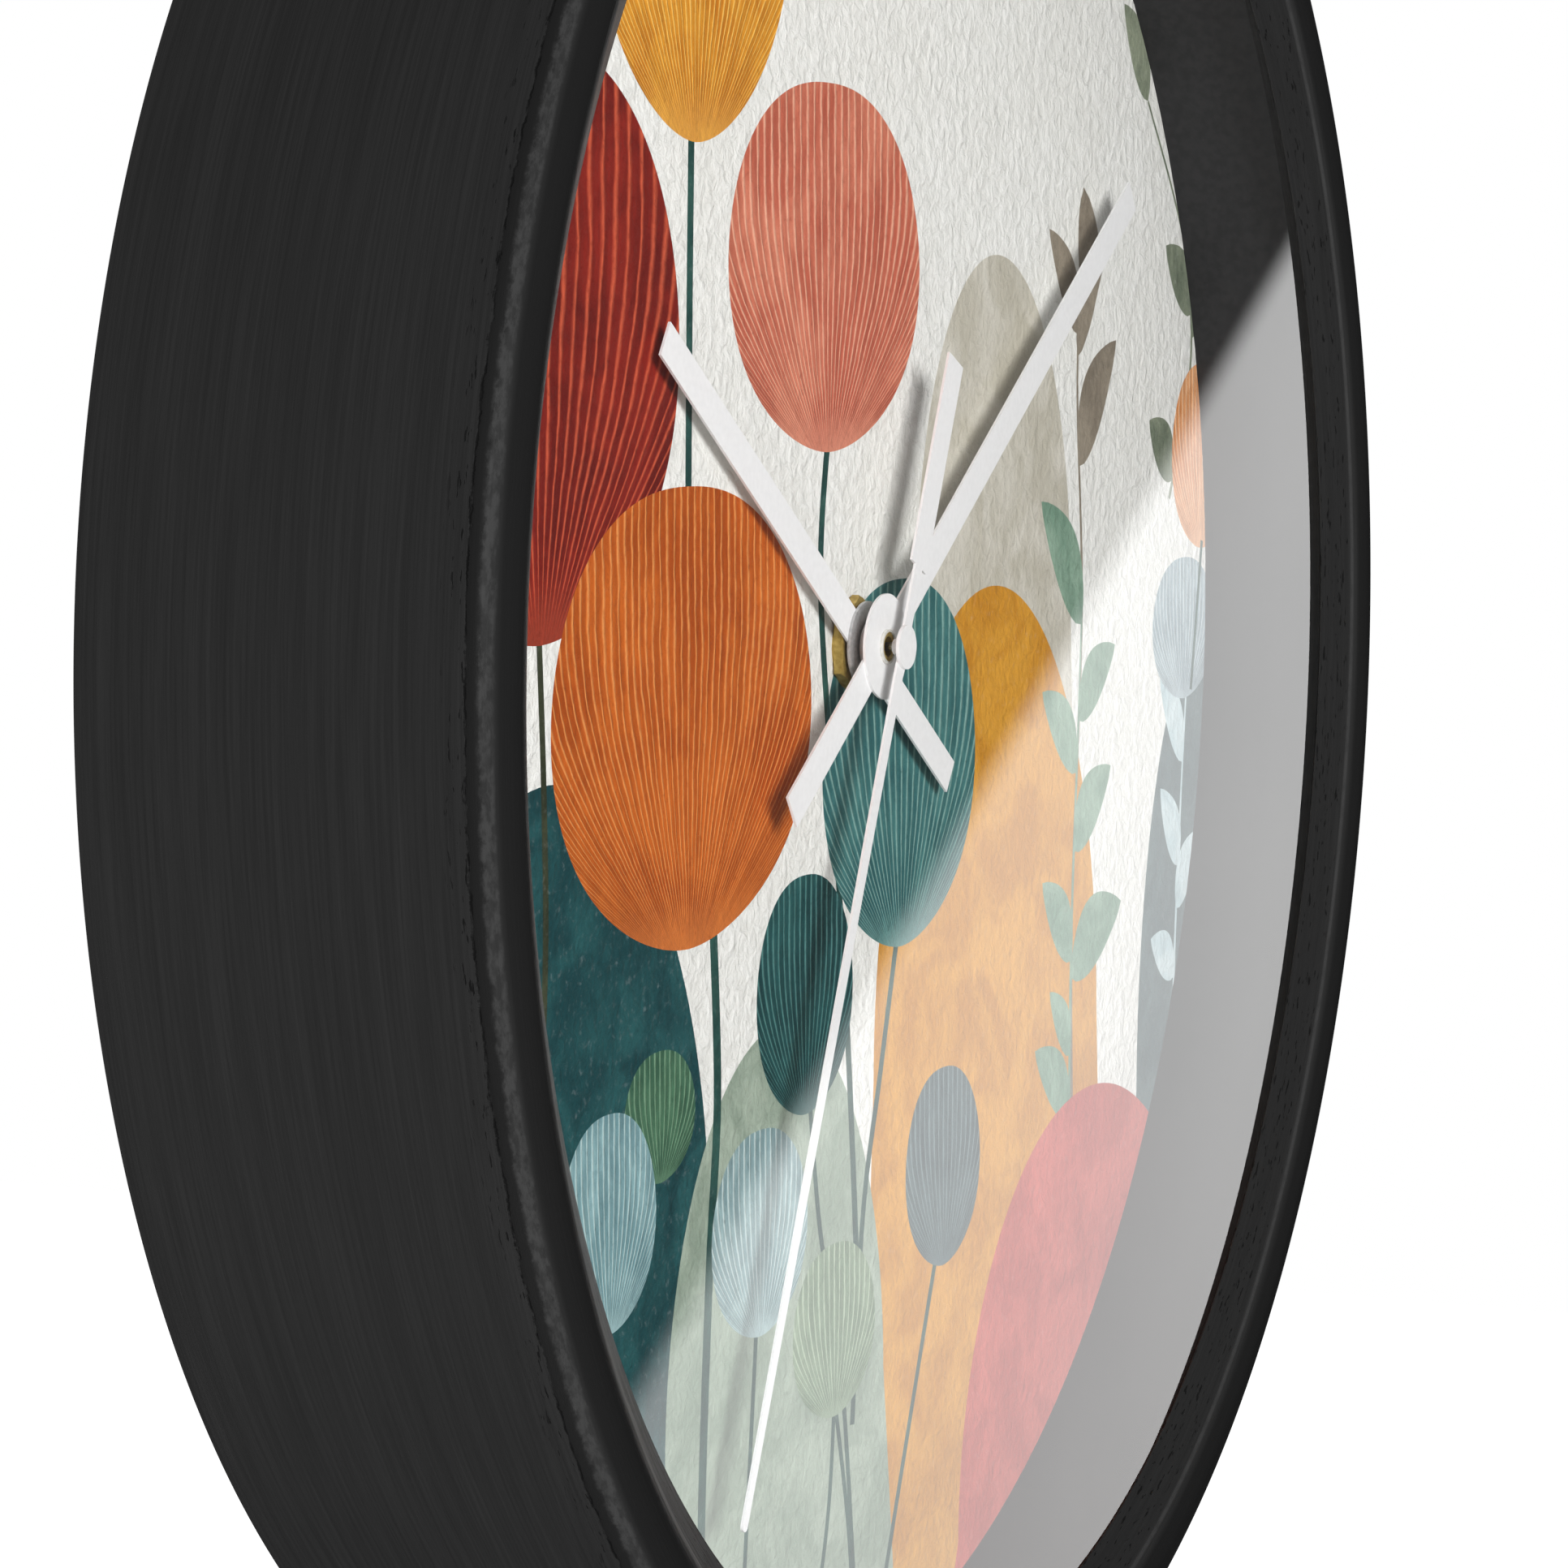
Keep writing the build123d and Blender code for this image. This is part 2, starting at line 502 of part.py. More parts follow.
def make_minute_tube():
    """The minute tube with its twelve-leaf pinion."""
    module = module_for(MOTION_DISTANCE, MINUTE_PINION_T, MOTION_T)
    low = MOTION_WHEEL_Z
    tube_part = cylinder(MINUTE_TUBE_R, CENTRE_WHEEL_Z, MINUTE_TUBE_TOP)
    tube_part += gear(MINUTE_PINION_T, module, MOTION_BEARING, low, low + MINUTE_LEAF_T, steps=2)
    tube_part -= hole(MINUTE_BORE_R, CENTRE_WHEEL_Z, MINUTE_TUBE_TOP)
    mouth_z = MINUTE_TUBE_TOP - MINUTE_MOUTH_DEPTH
    return tube_part - cylinder(MINUTE_MOUTH_R, mouth_z, MINUTE_TUBE_TOP + CUT)


def make_motion_wheel():
    wheel_module = module_for(MOTION_DISTANCE, MINUTE_PINION_T, MOTION_T)
    pinion_module = module_for(MOTION_DISTANCE, MOTION_PINION_T, HOUR_T)
    low, mid, high = MOTION_WHEEL_Z, MOTION_WHEEL_Z + WHEEL_T, MOTION_WHEEL_Z + MOTION_STACK
    wheel = gear(MOTION_T, wheel_module, facing(MOTION_BEARING, MOTION_T), low, mid)
    pinion = gear(MOTION_PINION_T, pinion_module, MOTION_BEARING + 180, mid, high, steps=3)
    return wheel_and_pinion(wheel, pinion, STEM_R, low, high, MOTION_AT)


def make_hour_wheel():
    """The hour wheel and the tube that carries the hour hand."""
    module = module_for(MOTION_DISTANCE, MOTION_PINION_T, HOUR_T)
    low = HOUR_WHEEL_Z
    wheel = gear(HOUR_T, module, MOTION_BEARING + 180.0 / HOUR_T, low, low + WHEEL_T)
    wheel += cylinder(HOUR_TUBE_R, low, HOUR_TUBE_TOP)
    return wheel - hole(HOUR_BORE_R, low, HOUR_TUBE_TOP)


def make_setting_knob():
    """The knurled thumb knob on the back, with the stem that carries the motion wheel."""
    knob = cylinder(KNOB_R, *KNOB_Z, MOTION_AT)
    for flute in range(FLUTES):
        x, y = polar(KNOB_R + FLUTE_OUT, 360.0 / FLUTES * flute)
        knob -= hole(FLUTE_R, *KNOB_Z, (MOTION_AT[0] + x, MOTION_AT[1] + y))
    stem_top = CASE_FRONT_Z - CASE_WALL + PIVOT_DEPTH
    return knob + cylinder(STEM_R, KNOB_Z[0], stem_top, MOTION_AT)


# ---- hands ---------------------------------------------------------------------------------
def bar_hand(long, tail, width, eye_r, hole_r, low):
    """A flat bar with square ends, an eye at the arbor and a tail."""
    bar = Pos(0, (long - tail) / 2, low + HAND_T / 2) * Box(width, long + tail, HAND_T)
    eye = cylinder(eye_r, low, low + HAND_T)
    return bar + eye - hole(hole_r, low, low + HAND_T)


def at_clock_angle(shape, angle):
    """Turn a hand that points to twelve to a clock angle."""
    return Rot(0, 0, -angle) * shape


def make_hour_hand():
    hand = bar_hand(HOUR_LONG, HOUR_TAIL, HOUR_W, HOUR_EYE_R, HOUR_BOSS_R, HOUR_Z)
    return at_clock_angle(hand, HOUR_ANGLE)


def make_hour_collet():
    """The hour hand's bush, with the round cover in front of the blade."""
    top = HOUR_Z + HAND_T
    low = HOUR_Z - CLEARANCE
    collet = cylinder(HOUR_BOSS_R, low, top) + cylinder(HOUR_COVER_R, top, top + HOUR_COVER_T)
    return collet - hole(HOUR_TUBE_R, low, top + HOUR_COVER_T)


def make_minute_hand():
    hand = bar_hand(MINUTE_LONG, MINUTE_TAIL, MINUTE_W, MINUTE_EYE_R, MINUTE_BOSS_R, MINUTE_Z)
    return at_clock_angle(hand, MINUTE_ANGLE)


def make_minute_collet():
    """The minute hand's bush: a boss behind the blade, a cover in front and a short stud end."""
    top = MINUTE_Z + HAND_T
    low, stud_top = MINUTE_Z - MINUTE_BOSS_T, MINUTE_TUBE_TOP + STUD_PROUD
    collet = cylinder(MINUTE_BOSS_R, low, top)
    collet += cylinder(MINUTE_COVER_R, top, top + MINUTE_COVER_T)
    collet += cylinder(STUD_R, top + MINUTE_COVER_T, stud_top)
    return collet - hole(MINUTE_TUBE_R, low, stud_top)


def make_second_hand():
    """A slim tapered pointer with a rounded tip, a neck and a wide flat counterweight."""
    tip_r = SECOND_TIP_W / 2
    blade = make_face(Polyline((-SECOND_W / 2, 0), (SECOND_W / 2, 0), (tip_r, SECOND_LONG - tip_r),
                               (-tip_r, SECOND_LONG - tip_r), close=True))
    outline = blade + Pos(0, SECOND_LONG - tip_r) * Circle(tip_r)
    outline += Pos(0, -WEIGHT_START / 2) * Rectangle(SECOND_W, WEIGHT_START)
    outline += Pos(0, -(WEIGHT_START + SECOND_TAIL) / 2) * Rectangle(WEIGHT_W, SECOND_TAIL - WEIGHT_START)
    outline += Circle(SECOND_NECK_R)
    hand = Pos(0, 0, SECOND_Z) * extrude(outline, HAND_T)
    hand -= hole(SECOND_TUBE_R, SECOND_Z, SECOND_Z + HAND_T)
    return at_clock_angle(hand, SECOND_ANGLE)


def make_second_collet():
    """The second hand's tube, closed by a small round cap."""
    top = SECOND_Z + HAND_T
    low = SECOND_Z - SECOND_TUBE_T
    collet = cylinder(SECOND_TUBE_R, low, top) + cylinder(CAP_R, top, top + CAP_T)
    return collet - cylinder(SECOND_ARBOR_R, low - CUT, top)


NODES = {
    "frame": make_frame,
    "glazing_points": make_glazing_points,
    "backing_board": make_backing_board,
    "dial": make_dial,
    "spacer_ring": make_spacer_ring,
    "lens": make_lens,
    "rubber_washer": make_rubber_washer,
    "front_washer": make_front_washer,
    "hex_nut": make_hex_nut,
    "case_front": make_case_front,
    "case_back": make_case_back,
    "middle_plate": make_middle_plate,
    "rotor_magnet": make_rotor_magnet,
    "rotor_pinion": make_rotor_pinion,
    "stator": make_stator,
    "coil_bobbin": make_coil_bobbin,
    "coil_winding": make_coil_winding,
    "circuit_board": make_circuit_board,
    "chip": make_chip,
    "crystal": make_crystal,
    "battery": make_battery,
    "contact_positive": make_contact_positive,
    "contact_negative": make_contact_negative,
    "step_wheel": make_step_wheel,
    "second_wheel": make_second_wheel,
    "second_arbor": make_second_arbor,
    "third_wheel": make_third_wheel,
    "centre_wheel": make_centre_wheel,
    "minute_tube": make_minute_tube,
    "motion_wheel": make_motion_wheel,
    "hour_wheel": make_hour_wheel,
    "setting_knob": make_setting_knob,
    "hour_hand": make_hour_hand,
    "hour_collet": make_hour_collet,
    "minute_hand": make_minute_hand,
    "minute_collet": make_minute_collet,
    "second_hand": make_second_hand,
    "second_collet": make_second_collet,
}


def write_node(name, shape):
    """Turn a piece from the drawing frame into the part's frame and write it."""
    export_step(Rot(90, 0, 0) * shape, f"parts/{name}.step")


os.makedirs("parts", exist_ok=True)
for node, make in NODES.items():
    write_node(node, make())
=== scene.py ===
"""Looks for the round wall clock: painted rim, glass, printed dial, pale hands and a quartz movement.

Drawing lengths here are millimetres: x to the right, z up, and h the height above the wall.
A point is placed in the frame at (x, -h, z), in metres.
"""

from math import cos, hypot, pi, radians, sin

import bpy
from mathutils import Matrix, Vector
from mathutils.geometry import delaunay_2d_cdt


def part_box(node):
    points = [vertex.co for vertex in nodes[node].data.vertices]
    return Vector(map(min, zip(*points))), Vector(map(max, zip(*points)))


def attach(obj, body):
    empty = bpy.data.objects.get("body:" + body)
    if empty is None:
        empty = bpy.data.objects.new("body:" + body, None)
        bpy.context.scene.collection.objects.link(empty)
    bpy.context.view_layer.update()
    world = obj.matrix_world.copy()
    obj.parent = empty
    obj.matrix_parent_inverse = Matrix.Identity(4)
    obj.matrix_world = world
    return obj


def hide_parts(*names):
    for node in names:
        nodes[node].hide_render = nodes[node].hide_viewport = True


MM = 0.001

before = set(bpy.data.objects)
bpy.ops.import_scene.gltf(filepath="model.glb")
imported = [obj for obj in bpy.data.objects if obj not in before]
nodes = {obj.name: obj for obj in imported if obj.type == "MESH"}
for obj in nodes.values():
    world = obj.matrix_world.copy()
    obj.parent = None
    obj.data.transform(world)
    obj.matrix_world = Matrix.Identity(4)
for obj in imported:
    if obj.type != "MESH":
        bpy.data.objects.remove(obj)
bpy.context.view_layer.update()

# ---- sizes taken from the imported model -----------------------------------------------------
RIM_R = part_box("frame")[1].x / MM
RIM_DEPTH = -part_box("frame")[0].y / MM
DIAL_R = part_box("dial")[1].x / MM
DIAL_FACE = -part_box("dial")[0].y / MM
DIAL_BACK = -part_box("dial")[1].y / MM
LIP_BACK = -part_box("lens")[0].y / MM
REBATE_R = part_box("spacer_ring")[1].x / MM + 0.2

# ---- rim section and hub -------------------------------------------------------------------
SHOULDER_H = 40.4           # where the straight outside wall starts to round over
CREST_R = 122.2
BEAD_FOOT = (118.6, 42.1)   # radius and height where the bead meets the chamfer
OPENING_R = 113.8
LIP_EDGE = 0.15
RIM_TURNS = 960
RIDGE_HIGHLIGHT_AT = 42.4             # painted highlight on the ridge, as a length along the section from the back of the wall
CREASE_END = 42.8           # end of the dark crease, measured the same way
RIM_GLOSS = 0.18            # how strongly the paint reflects
STUD_R = 1.95               # bright stud in the middle of the minute hand's cover
DIAL_HOLE_R = 4.2

# ---- paper ---------------------------------------------------------------------------------
EMBOSS = (0.6, 4.0, 0.55, 0.4)      # noise scale per mm, detail, roughness and distortion
PAPER_GLOSS = 0.25

# ---- camera --------------------------------------------------------------------------------
VIEW_AZIMUTH = radians(65.33)
VIEW_ELEVATION = radians(5.01)
VIEW_DISTANCE = 474.8
VIEW_TARGET = (-65.35, 43.03, -9.76)
VIEW_LENS = 109.7

# ---- studio --------------------------------------------------------------------------------
# name, degrees left of the front, degrees above level, distance (m), size (m), power (W), mirrored
SOFTBOXES = [
    ("key", 42, 13, 2.0, 0.6, 51.5, False),
    ("edge_glint", 38, 5, 1.2, 0.35, 1.0, True),
    ("right_glint", -6, -24, 1.3, 0.6, 0.25, True),
    ("low_left", 80, -60, 1.4, 0.8, 11.0, False),
    ("back_fill", -145, 22, 1.8, 1.0, 34.0, False),
]
FLOOR_HALF, FLOOR_LOW = 6.0, -1.3
CARD_FRONT = -0.6                   # the glare card's plane, in front of the wall
CARD_CORNER = (1.769, 0.100)        # a point on its soft slanted edge
CARD_SLOPE = 0.594
CARD_NEAR, CARD_FAR, CARD_LOW = 0.3, 6.0, -4.0
CARD_MARGIN = 0.1                   # how far the card goes on past its soft edge
CARD_FADE = (-9.0, 23.0)            # millimetres inside the edge where the glow starts and is full
CARD_GLOW = 1.7
FILL_LEVEL, MIRRORED_LEVEL, SHOWN_LEVEL = 0.2, 0.06, 1.0


def place(x, h, z):
    """The frame's point, in metres, for a drawing point in millimetres."""
    return Vector((x, -h, z)) * MM


# ---- meshes --------------------------------------------------------------------------------
def add_mesh(name, points, faces, smooth_angle=None):
    """An object made of points and faces, flat-shaded unless a smoothing angle is given."""
    mesh = bpy.data.meshes.new(name)
    mesh.from_pydata(points, [], faces)
    mesh.validate()
    if smooth_angle:
        mesh.polygons.foreach_set("use_smooth", [True] * len(mesh.polygons))
        mesh.set_sharp_from_angle(angle=radians(smooth_angle))
    piece = bpy.data.objects.new(name, mesh)
    bpy.context.scene.collection.objects.link(piece)
    return piece


def hermite(start, end, leave, arrive, steps):
    """Points along a smooth curve between two points, without the first one."""
    chord = hypot(end[0] - start[0], end[1] - start[1])
    points = []
    for step in range(1, steps + 1):
        t = step / steps
        a, b = 2 * t**3 - 3 * t**2 + 1, t**3 - 2 * t**2 + t
        c, d = -2 * t**3 + 3 * t**2, t**3 - t**2
        points.append(tuple(
            a * start[k] + b * chord * leave[k] + c * end[k] + d * chord * arrive[k] for k in (0, 1)
        ))
    return points


def straight(start, end, steps):
    """Evenly spaced points from start to end, without the first one."""
    return [
        tuple(start[k] + (end[k] - start[k]) * step / steps for k in (0, 1))
        for step in range(1, steps + 1)
    ]


def rim_section():
    """The rim's outline as (radius, height) points, from the back of its outside wall."""
    back = (RIM_R, 0.0)
    shoulder = (RIM_R, SHOULDER_H)
    crest = (CREST_R, RIM_DEPTH)
    lip_top = (OPENING_R, LIP_BACK + LIP_EDGE)
    line = [back]
    line += straight(back, shoulder, 24)
    line += hermite(shoulder, crest, (0, 1), (-1, 0), 20)
    line += hermite(crest, BEAD_FOOT, (-1, 0), (-0.8, -0.6), 14)
    line += straight(BEAD_FOOT, lip_top, 10)
    line += straight(lip_top, (OPENING_R, LIP_BACK), 2)
    line += straight((OPENING_R, LIP_BACK), (REBATE_R, LIP_BACK), 6)
    line += straight((REBATE_R, LIP_BACK), (REBATE_R, 0.0), 20)
    return line


def length_to(section, end):
    """The length along a section up to one of its points."""
    upto = section[:section.index(end) + 1]
    return sum(hypot(b[0] - a[0], b[1] - a[1]) for a, b in zip(upto, upto[1:]))


def turn_ring(name, section, turns, smooth_angle):
    """A closed ring turned from a closed section, with the length along the section kept per point."""
    points, lengths, faces = [], [], []
    length = 0.0
    previous = section[0]
    rows = len(section)
    for radius, height in section:
        length += hypot(radius - previous[0], height - previous[1])
        previous = (radius, height)
        for turn in range(turns):
            angle = 2 * pi * turn / turns
            points.append(place(radius * sin(angle), height, radius * cos(angle)))
            lengths.append(length)
    for row in range(rows):
        below = (row + 1) % rows
        for turn in range(turns):
            beside = (turn + 1) % turns
            faces.append((
                row * turns + turn, below * turns + turn, below * turns + beside, row * turns + beside
            ))
    ring = add_mesh(name, points, faces, smooth_angle)
    ring.data.attributes.new("along", "FLOAT", "POINT").data.foreach_set("value", lengths)
    return ring


# ---- materials -----------------------------------------------------------------------------
class Paint:
    """A material being made: one Principled shader and short ways to wire nodes to it."""

    def __init__(self, name, rough=0.5, metal=0.0, specular=0.5):
        self.material = bpy.data.materials.new(name)
        self.material.use_nodes = True
        self.tree = self.material.node_tree
        self.shader = self.tree.nodes["Principled BSDF"]
        self.shader.inputs["Roughness"].default_value = rough
        self.shader.inputs["Metallic"].default_value = metal
        self.shader.inputs["Specular IOR Level"].default_value = specular

    def set(self, socket, value):
        """Links a node's output to a socket, or sets the socket's own value."""
        if isinstance(value, bpy.types.NodeSocket):
            self.tree.links.new(value, socket)
        elif socket.type == "RGBA" and len(value) == 3:
            socket.default_value = (*value, 1.0)
        else:
            socket.default_value = value

    def node(self, kind, inputs=(), **settings):
        """Adds a node, with its inputs given as (socket, value) pairs."""
        made = self.tree.nodes.new(kind)
        for key, value in settings.items():
            setattr(made, key, value)
        for socket, value in inputs:
            self.set(made.inputs[socket], value)
        return made

    def math(self, operation, a, b=0.0, c=0.0):
        """A sum, product or other calculation on up to three values."""
        made = self.node("ShaderNodeMath", [(0, a), (1, b), (2, c)], operation=operation)
        return made.outputs[0]

    def where(self, stretch=(1.0, 1.0, 1.0)):
        """The point being shaded, in millimetres of the part's frame, stretched per axis."""
        coordinates = self.node("ShaderNodeTexCoord").outputs["Object"]
        factors = tuple(s / MM for s in stretch)
        scaled = self.node("ShaderNodeVectorMath", [(0, coordinates), (1, factors)], operation="MULTIPLY")
        return scaled.outputs[0]

    def split(self, vector):
        return self.node("ShaderNodeSeparateXYZ", [(0, vector)]).outputs

    def join(self, x, y, z):
        return self.node("ShaderNodeCombineXYZ", [(0, x), (1, y), (2, z)]).outputs[0]

    def noise(self, vector, scale=1.0, detail=3.0, roughness=0.55, distortion=0.0):
        """Soft noise between 0 and 1."""
        inputs = [
            ("Vector", vector), ("Scale", scale), ("Detail", detail),
            ("Roughness", roughness), ("Distortion", distortion),
        ]
        return self.node("ShaderNodeTexNoise", inputs).outputs["Fac"]

    def fade(self, value, low, high, to_low=0.0, to_high=1.0):
        """A smooth step from to_low to to_high as value goes from low to high."""
        inputs = [(0, value), (1, low), (2, high), (3, to_low), (4, to_high)]
        made = self.node("ShaderNodeMapRange", inputs, interpolation_type="SMOOTHSTEP")
        return made.outputs[0]

    def blend(self, share, first, second):
        """first where share is 0 and second where it is 1."""
        made = self.node("ShaderNodeMix", data_type="RGBA")
        self.set(made.inputs["Factor"], share)
        self.set(made.inputs[6], first)
        self.set(made.inputs[7], second)
        return made.outputs[2]

    def colour(self, value):
        self.set(self.shader.inputs["Base Color"], value)

    def rough(self, value):
        self.set(self.shader.inputs["Roughness"], value)

    def relief(self, height, depth, strength=1.0):
        """Raises the surface by height times depth, in millimetres."""
        inputs = [("Height", height), ("Distance", depth * MM), ("Strength", strength)]
        made = self.node("ShaderNodeBump", inputs)
        self.set(self.shader.inputs["Normal"], made.outputs[0])


def srgb(red, green, blue):
    """Scene colour of a display colour given as 0 to 255."""
    def linear(v):
        v /= 255
        return v / 12.92 if v <= 0.04045 else ((v + 0.055) / 1.055) ** 2.4
    return linear(red), linear(green), linear(blue)


def mottled(name, dark, light, scale=1.0, rough=(0.4, 0.6), depth=0.0, stretch=(1, 1, 1), **options):
    """A surface whose colour, gloss and relief follow the same noise, scale per millimetre."""
    paint = Paint(name, **options)
    place_mm = paint.where(stretch)
    noise = paint.noise(place_mm, scale, 4.0)
    share = paint.fade(noise, 0.3, 0.7)
    paint.colour(paint.blend(share, dark, light))
    paint.rough(paint.fade(noise, 0.3, 0.7, rough[1], rough[0]))
    if depth:
        paint.relief(noise, depth)
    return paint.material


def rim_paint():
    """Black paint brushed round the rim, with a ragged crease where the wall meets the front, painted shade
    in the crease, in a band in front of it, over the bead and on the chamfer, and painted highlights on the
    ridge and on the edge where the bead meets the chamfer.
    """
    foot = length_to(rim_section(), BEAD_FOOT)
    paint = Paint("rim_paint", specular=RIM_GLOSS)
    x, _, z = paint.split(paint.where())
    along = paint.node("ShaderNodeAttribute", attribute_name="along").outputs["Fac"]

    def drawn_out(round_rim, across, *noise):
        """Noise with its own scales per millimetre round the rim and along the section."""
        stretched = paint.join(paint.math("MULTIPLY", x, round_rim), paint.math("MULTIPLY", along, across),
                               paint.math("MULTIPLY", z, round_rim))
        return paint.noise(stretched, *noise)

    def line(middle, outer, inner):
        """1 along a line round the rim, fading out between two distances from its middle."""
        return paint.fade(paint.math("ABSOLUTE", paint.math("SUBTRACT", along, middle)), outer, inner)

    brushed = drawn_out(0.05, 2.6, 1.0, 5.0, 0.65)
    broad = drawn_out(0.05, 2.6, 0.2, 3.0)
    chips = drawn_out(0.45, 2.4, 1.0, 2.0)
    lumps = drawn_out(1.0, 2.0, 0.55, 4.0, 0.7)
    ragged = paint.noise(paint.where((0.9, 0.0, 0.9)), 0.7, 5.0, 0.75)
    wander = paint.noise(paint.where((0.05, 0.0, 0.05)), 1.0, 2.0)

    # the crease wanders round the shoulder, with painted shade in its groove and in a band in front of it,
    # and chips behind
    crease = paint.math("MULTIPLY_ADD", ragged, 1.1, SHOULDER_H - 0.8)
    crease = paint.math("MULTIPLY_ADD", wander, 0.7, crease)
    past = paint.math("SUBTRACT", along, crease)
    shade_band = paint.math("MULTIPLY", paint.fade(past, -0.05, 0.1), paint.fade(past, 1.7, 1.1))
    groove_shade = paint.math("MULTIPLY", line(crease, 0.22, 0.05), paint.fade(chips, 0.4, 0.6))
    behind = paint.math("MULTIPLY", paint.fade(past, -3.5, -0.5), paint.fade(past, 0.0, -0.2))
    chipped = paint.math("MAXIMUM", behind, paint.fade(along, foot, foot + 0.5))
    specks = paint.math("MULTIPLY", paint.fade(chips, 0.62, 0.68), chipped)
    dents_and_groove_shade = paint.math("MAXIMUM", groove_shade, specks)

    # painted shade over the bead, and painted highlights on the ridge and on the edge where the bead meets
    # the chamfer
    bead_shade = paint.math("MULTIPLY", paint.fade(along, CREASE_END, CREASE_END + 1.2),
                      paint.fade(along, foot - 0.6, foot - 1.8))
    ridge_highlight = line(paint.math("MULTIPLY_ADD", paint.math("SUBTRACT", ragged, 0.5), 0.9, RIDGE_HIGHLIGHT_AT), 1.0, 0.45)
    ridge_highlight = paint.math("MULTIPLY", ridge_highlight, paint.fade(lumps, 0.38, 0.62, 0.1, 1.0))
    edge = paint.math("MULTIPLY", line(foot - 0.3, 0.4, 0.1), paint.fade(lumps, 0.3, 0.6, 0.55, 1.0))

    base = paint.blend(paint.fade(brushed, 0.3, 0.7), srgb(34, 34, 34), srgb(40, 40, 40))
    base = paint.blend(paint.fade(broad, 0.35, 0.65, 0.0, 0.25), base, srgb(28, 28, 28))
    # painted shade in the band after the crease and over the bead
    base = paint.blend(paint.math("MAXIMUM", shade_band, bead_shade), base, srgb(24, 24, 24))
    # painted highlight on the ridge
    base = paint.blend(paint.math("MULTIPLY", ridge_highlight, 0.7), base, srgb(54, 54, 54))
    # painted shade on the chamfer past the bead's foot
    base = paint.blend(paint.fade(along, foot - 0.2, foot + 0.6, 0.0, 0.35), base, srgb(27, 27, 27))
    # painted highlight on the edge where the bead meets the chamfer
    base = paint.blend(paint.math("MULTIPLY", edge, 0.6), base, srgb(58, 58, 58))
    # chips, and painted shade in the crease's groove
    paint.colour(paint.blend(paint.math("MULTIPLY", dents_and_groove_shade, 0.8), base, srgb(12, 12, 12)))
    paint.rough(paint.fade(brushed, 0.25, 0.75, 0.52, 0.38))
    paint.relief(paint.math("SUBTRACT", brushed, dents_and_groove_shade), 0.05)
    return paint.material


def glass():
    """Clear glass that lets light straight through and mirrors more at a slant."""
    paint = Paint("clear_glass")
    tree = paint.tree
    tree.nodes.remove(paint.shader)
    facing = paint.node("ShaderNodeLayerWeight", [("Blend", 0.5)]).outputs["Facing"]
    slant = paint.math("POWER", facing, 5.0)
    smear = paint.noise(paint.where(), 0.03, 3.0)
    share = paint.math("MULTIPLY_ADD", slant, 1.35, 0.06)
    outer = paint.math("SUBTRACT", 1.0, paint.node("ShaderNodeNewGeometry").outputs["Backfacing"])
    share = paint.math("MULTIPLY", share, outer)
    share = paint.math("MULTIPLY", share, paint.fade(smear, 0.2, 0.8, 0.97, 1.0))
    clear = paint.node("ShaderNodeBsdfTransparent", [(0, (0.99, 0.99, 0.99))])
    mirror = paint.node("ShaderNodeBsdfGlossy", [("Roughness", 0.012), (0, (1, 1, 1))])
    mixed = paint.node("ShaderNodeMixShader", [(0, share), (1, clear.outputs[0]), (2, mirror.outputs[0])])
    tree.links.new(mixed.outputs[0], tree.nodes["Material Output"].inputs[0])
    return paint.material


def minute_collet_paint():
    """Pale lacquer, with the small stud in the middle left as bright nickel."""
    paint = Paint("minute_collet_paint")
    place_mm = paint.where()
    x, _, z = paint.split(place_mm)
    radius = paint.math("SQRT", paint.math("ADD", paint.math("POWER", x, 2.0), paint.math("POWER", z, 2.0)))
    stud = paint.math("LESS_THAN", radius, STUD_R + 0.02)
    noise = paint.noise(place_mm, 1.5, 4.0)
    lacquer = paint.blend(paint.fade(noise, 0.3, 0.7), srgb(232, 232, 232), srgb(238, 238, 238))
    nickel = paint.blend(paint.fade(noise, 0.3, 0.7), srgb(214, 213, 206), srgb(240, 239, 234))
    paint.colour(paint.blend(stud, lacquer, nickel))
    paint.set(paint.shader.inputs["Metallic"], paint.math("MULTIPLY", stud, 0.3))
    paint.rough(paint.fade(stud, 0.0, 1.0, 0.4, 0.2))
    return paint.material


# ---- printed dial --------------------------------------------------------------------------
def paper():
    """Embossed off-white paper."""
    paint = Paint("dial_paper", specular=PAPER_GLOSS)
    place_mm = paint.where()
    emboss = paint.noise(place_mm, *EMBOSS)
    cloud = paint.noise(place_mm, 0.05, 2.0)
    base = paint.blend(paint.fade(emboss, 0.3, 0.7), srgb(226, 226, 221), srgb(238, 238, 234))
    paint.colour(paint.blend(paint.fade(cloud, 0.3, 0.7, 0.0, 0.3), base, srgb(222, 221, 214)))
    paint.rough(paint.fade(emboss, 0.3, 0.7, 0.7, 0.55))
    paint.relief(emboss, 0.6)
    return paint.material


def wash(name, dark, light, grain=0.5):
    """A flat printed shape with watercolour clouding and paper grain."""
    paint = Paint(name, specular=PAPER_GLOSS)
    place_mm = paint.where()
    cloud = paint.noise(place_mm, 0.09, 4.0, 0.6, 0.8)
    fleck = paint.noise(place_mm, 0.9, 4.0, 0.65)
    base = paint.blend(paint.fade(cloud, 0.35, 0.65), dark, light)
    pale = tuple(0.6 * c + 0.4 * 0.75 for c in light)
    deep = tuple(0.62 * c for c in dark)
    base = paint.blend(paint.fade(fleck, 0.55, 0.75, 0.0, grain * 0.6), base, pale)
    paint.colour(paint.blend(paint.fade(fleck, 0.45, 0.25, 0.0, grain), base, deep))
    paint.rough(paint.fade(fleck, 0.3, 0.7, 0.7, 0.55))
    paint.relief(paint.noise(place_mm, *EMBOSS), 0.4)
    return paint.material


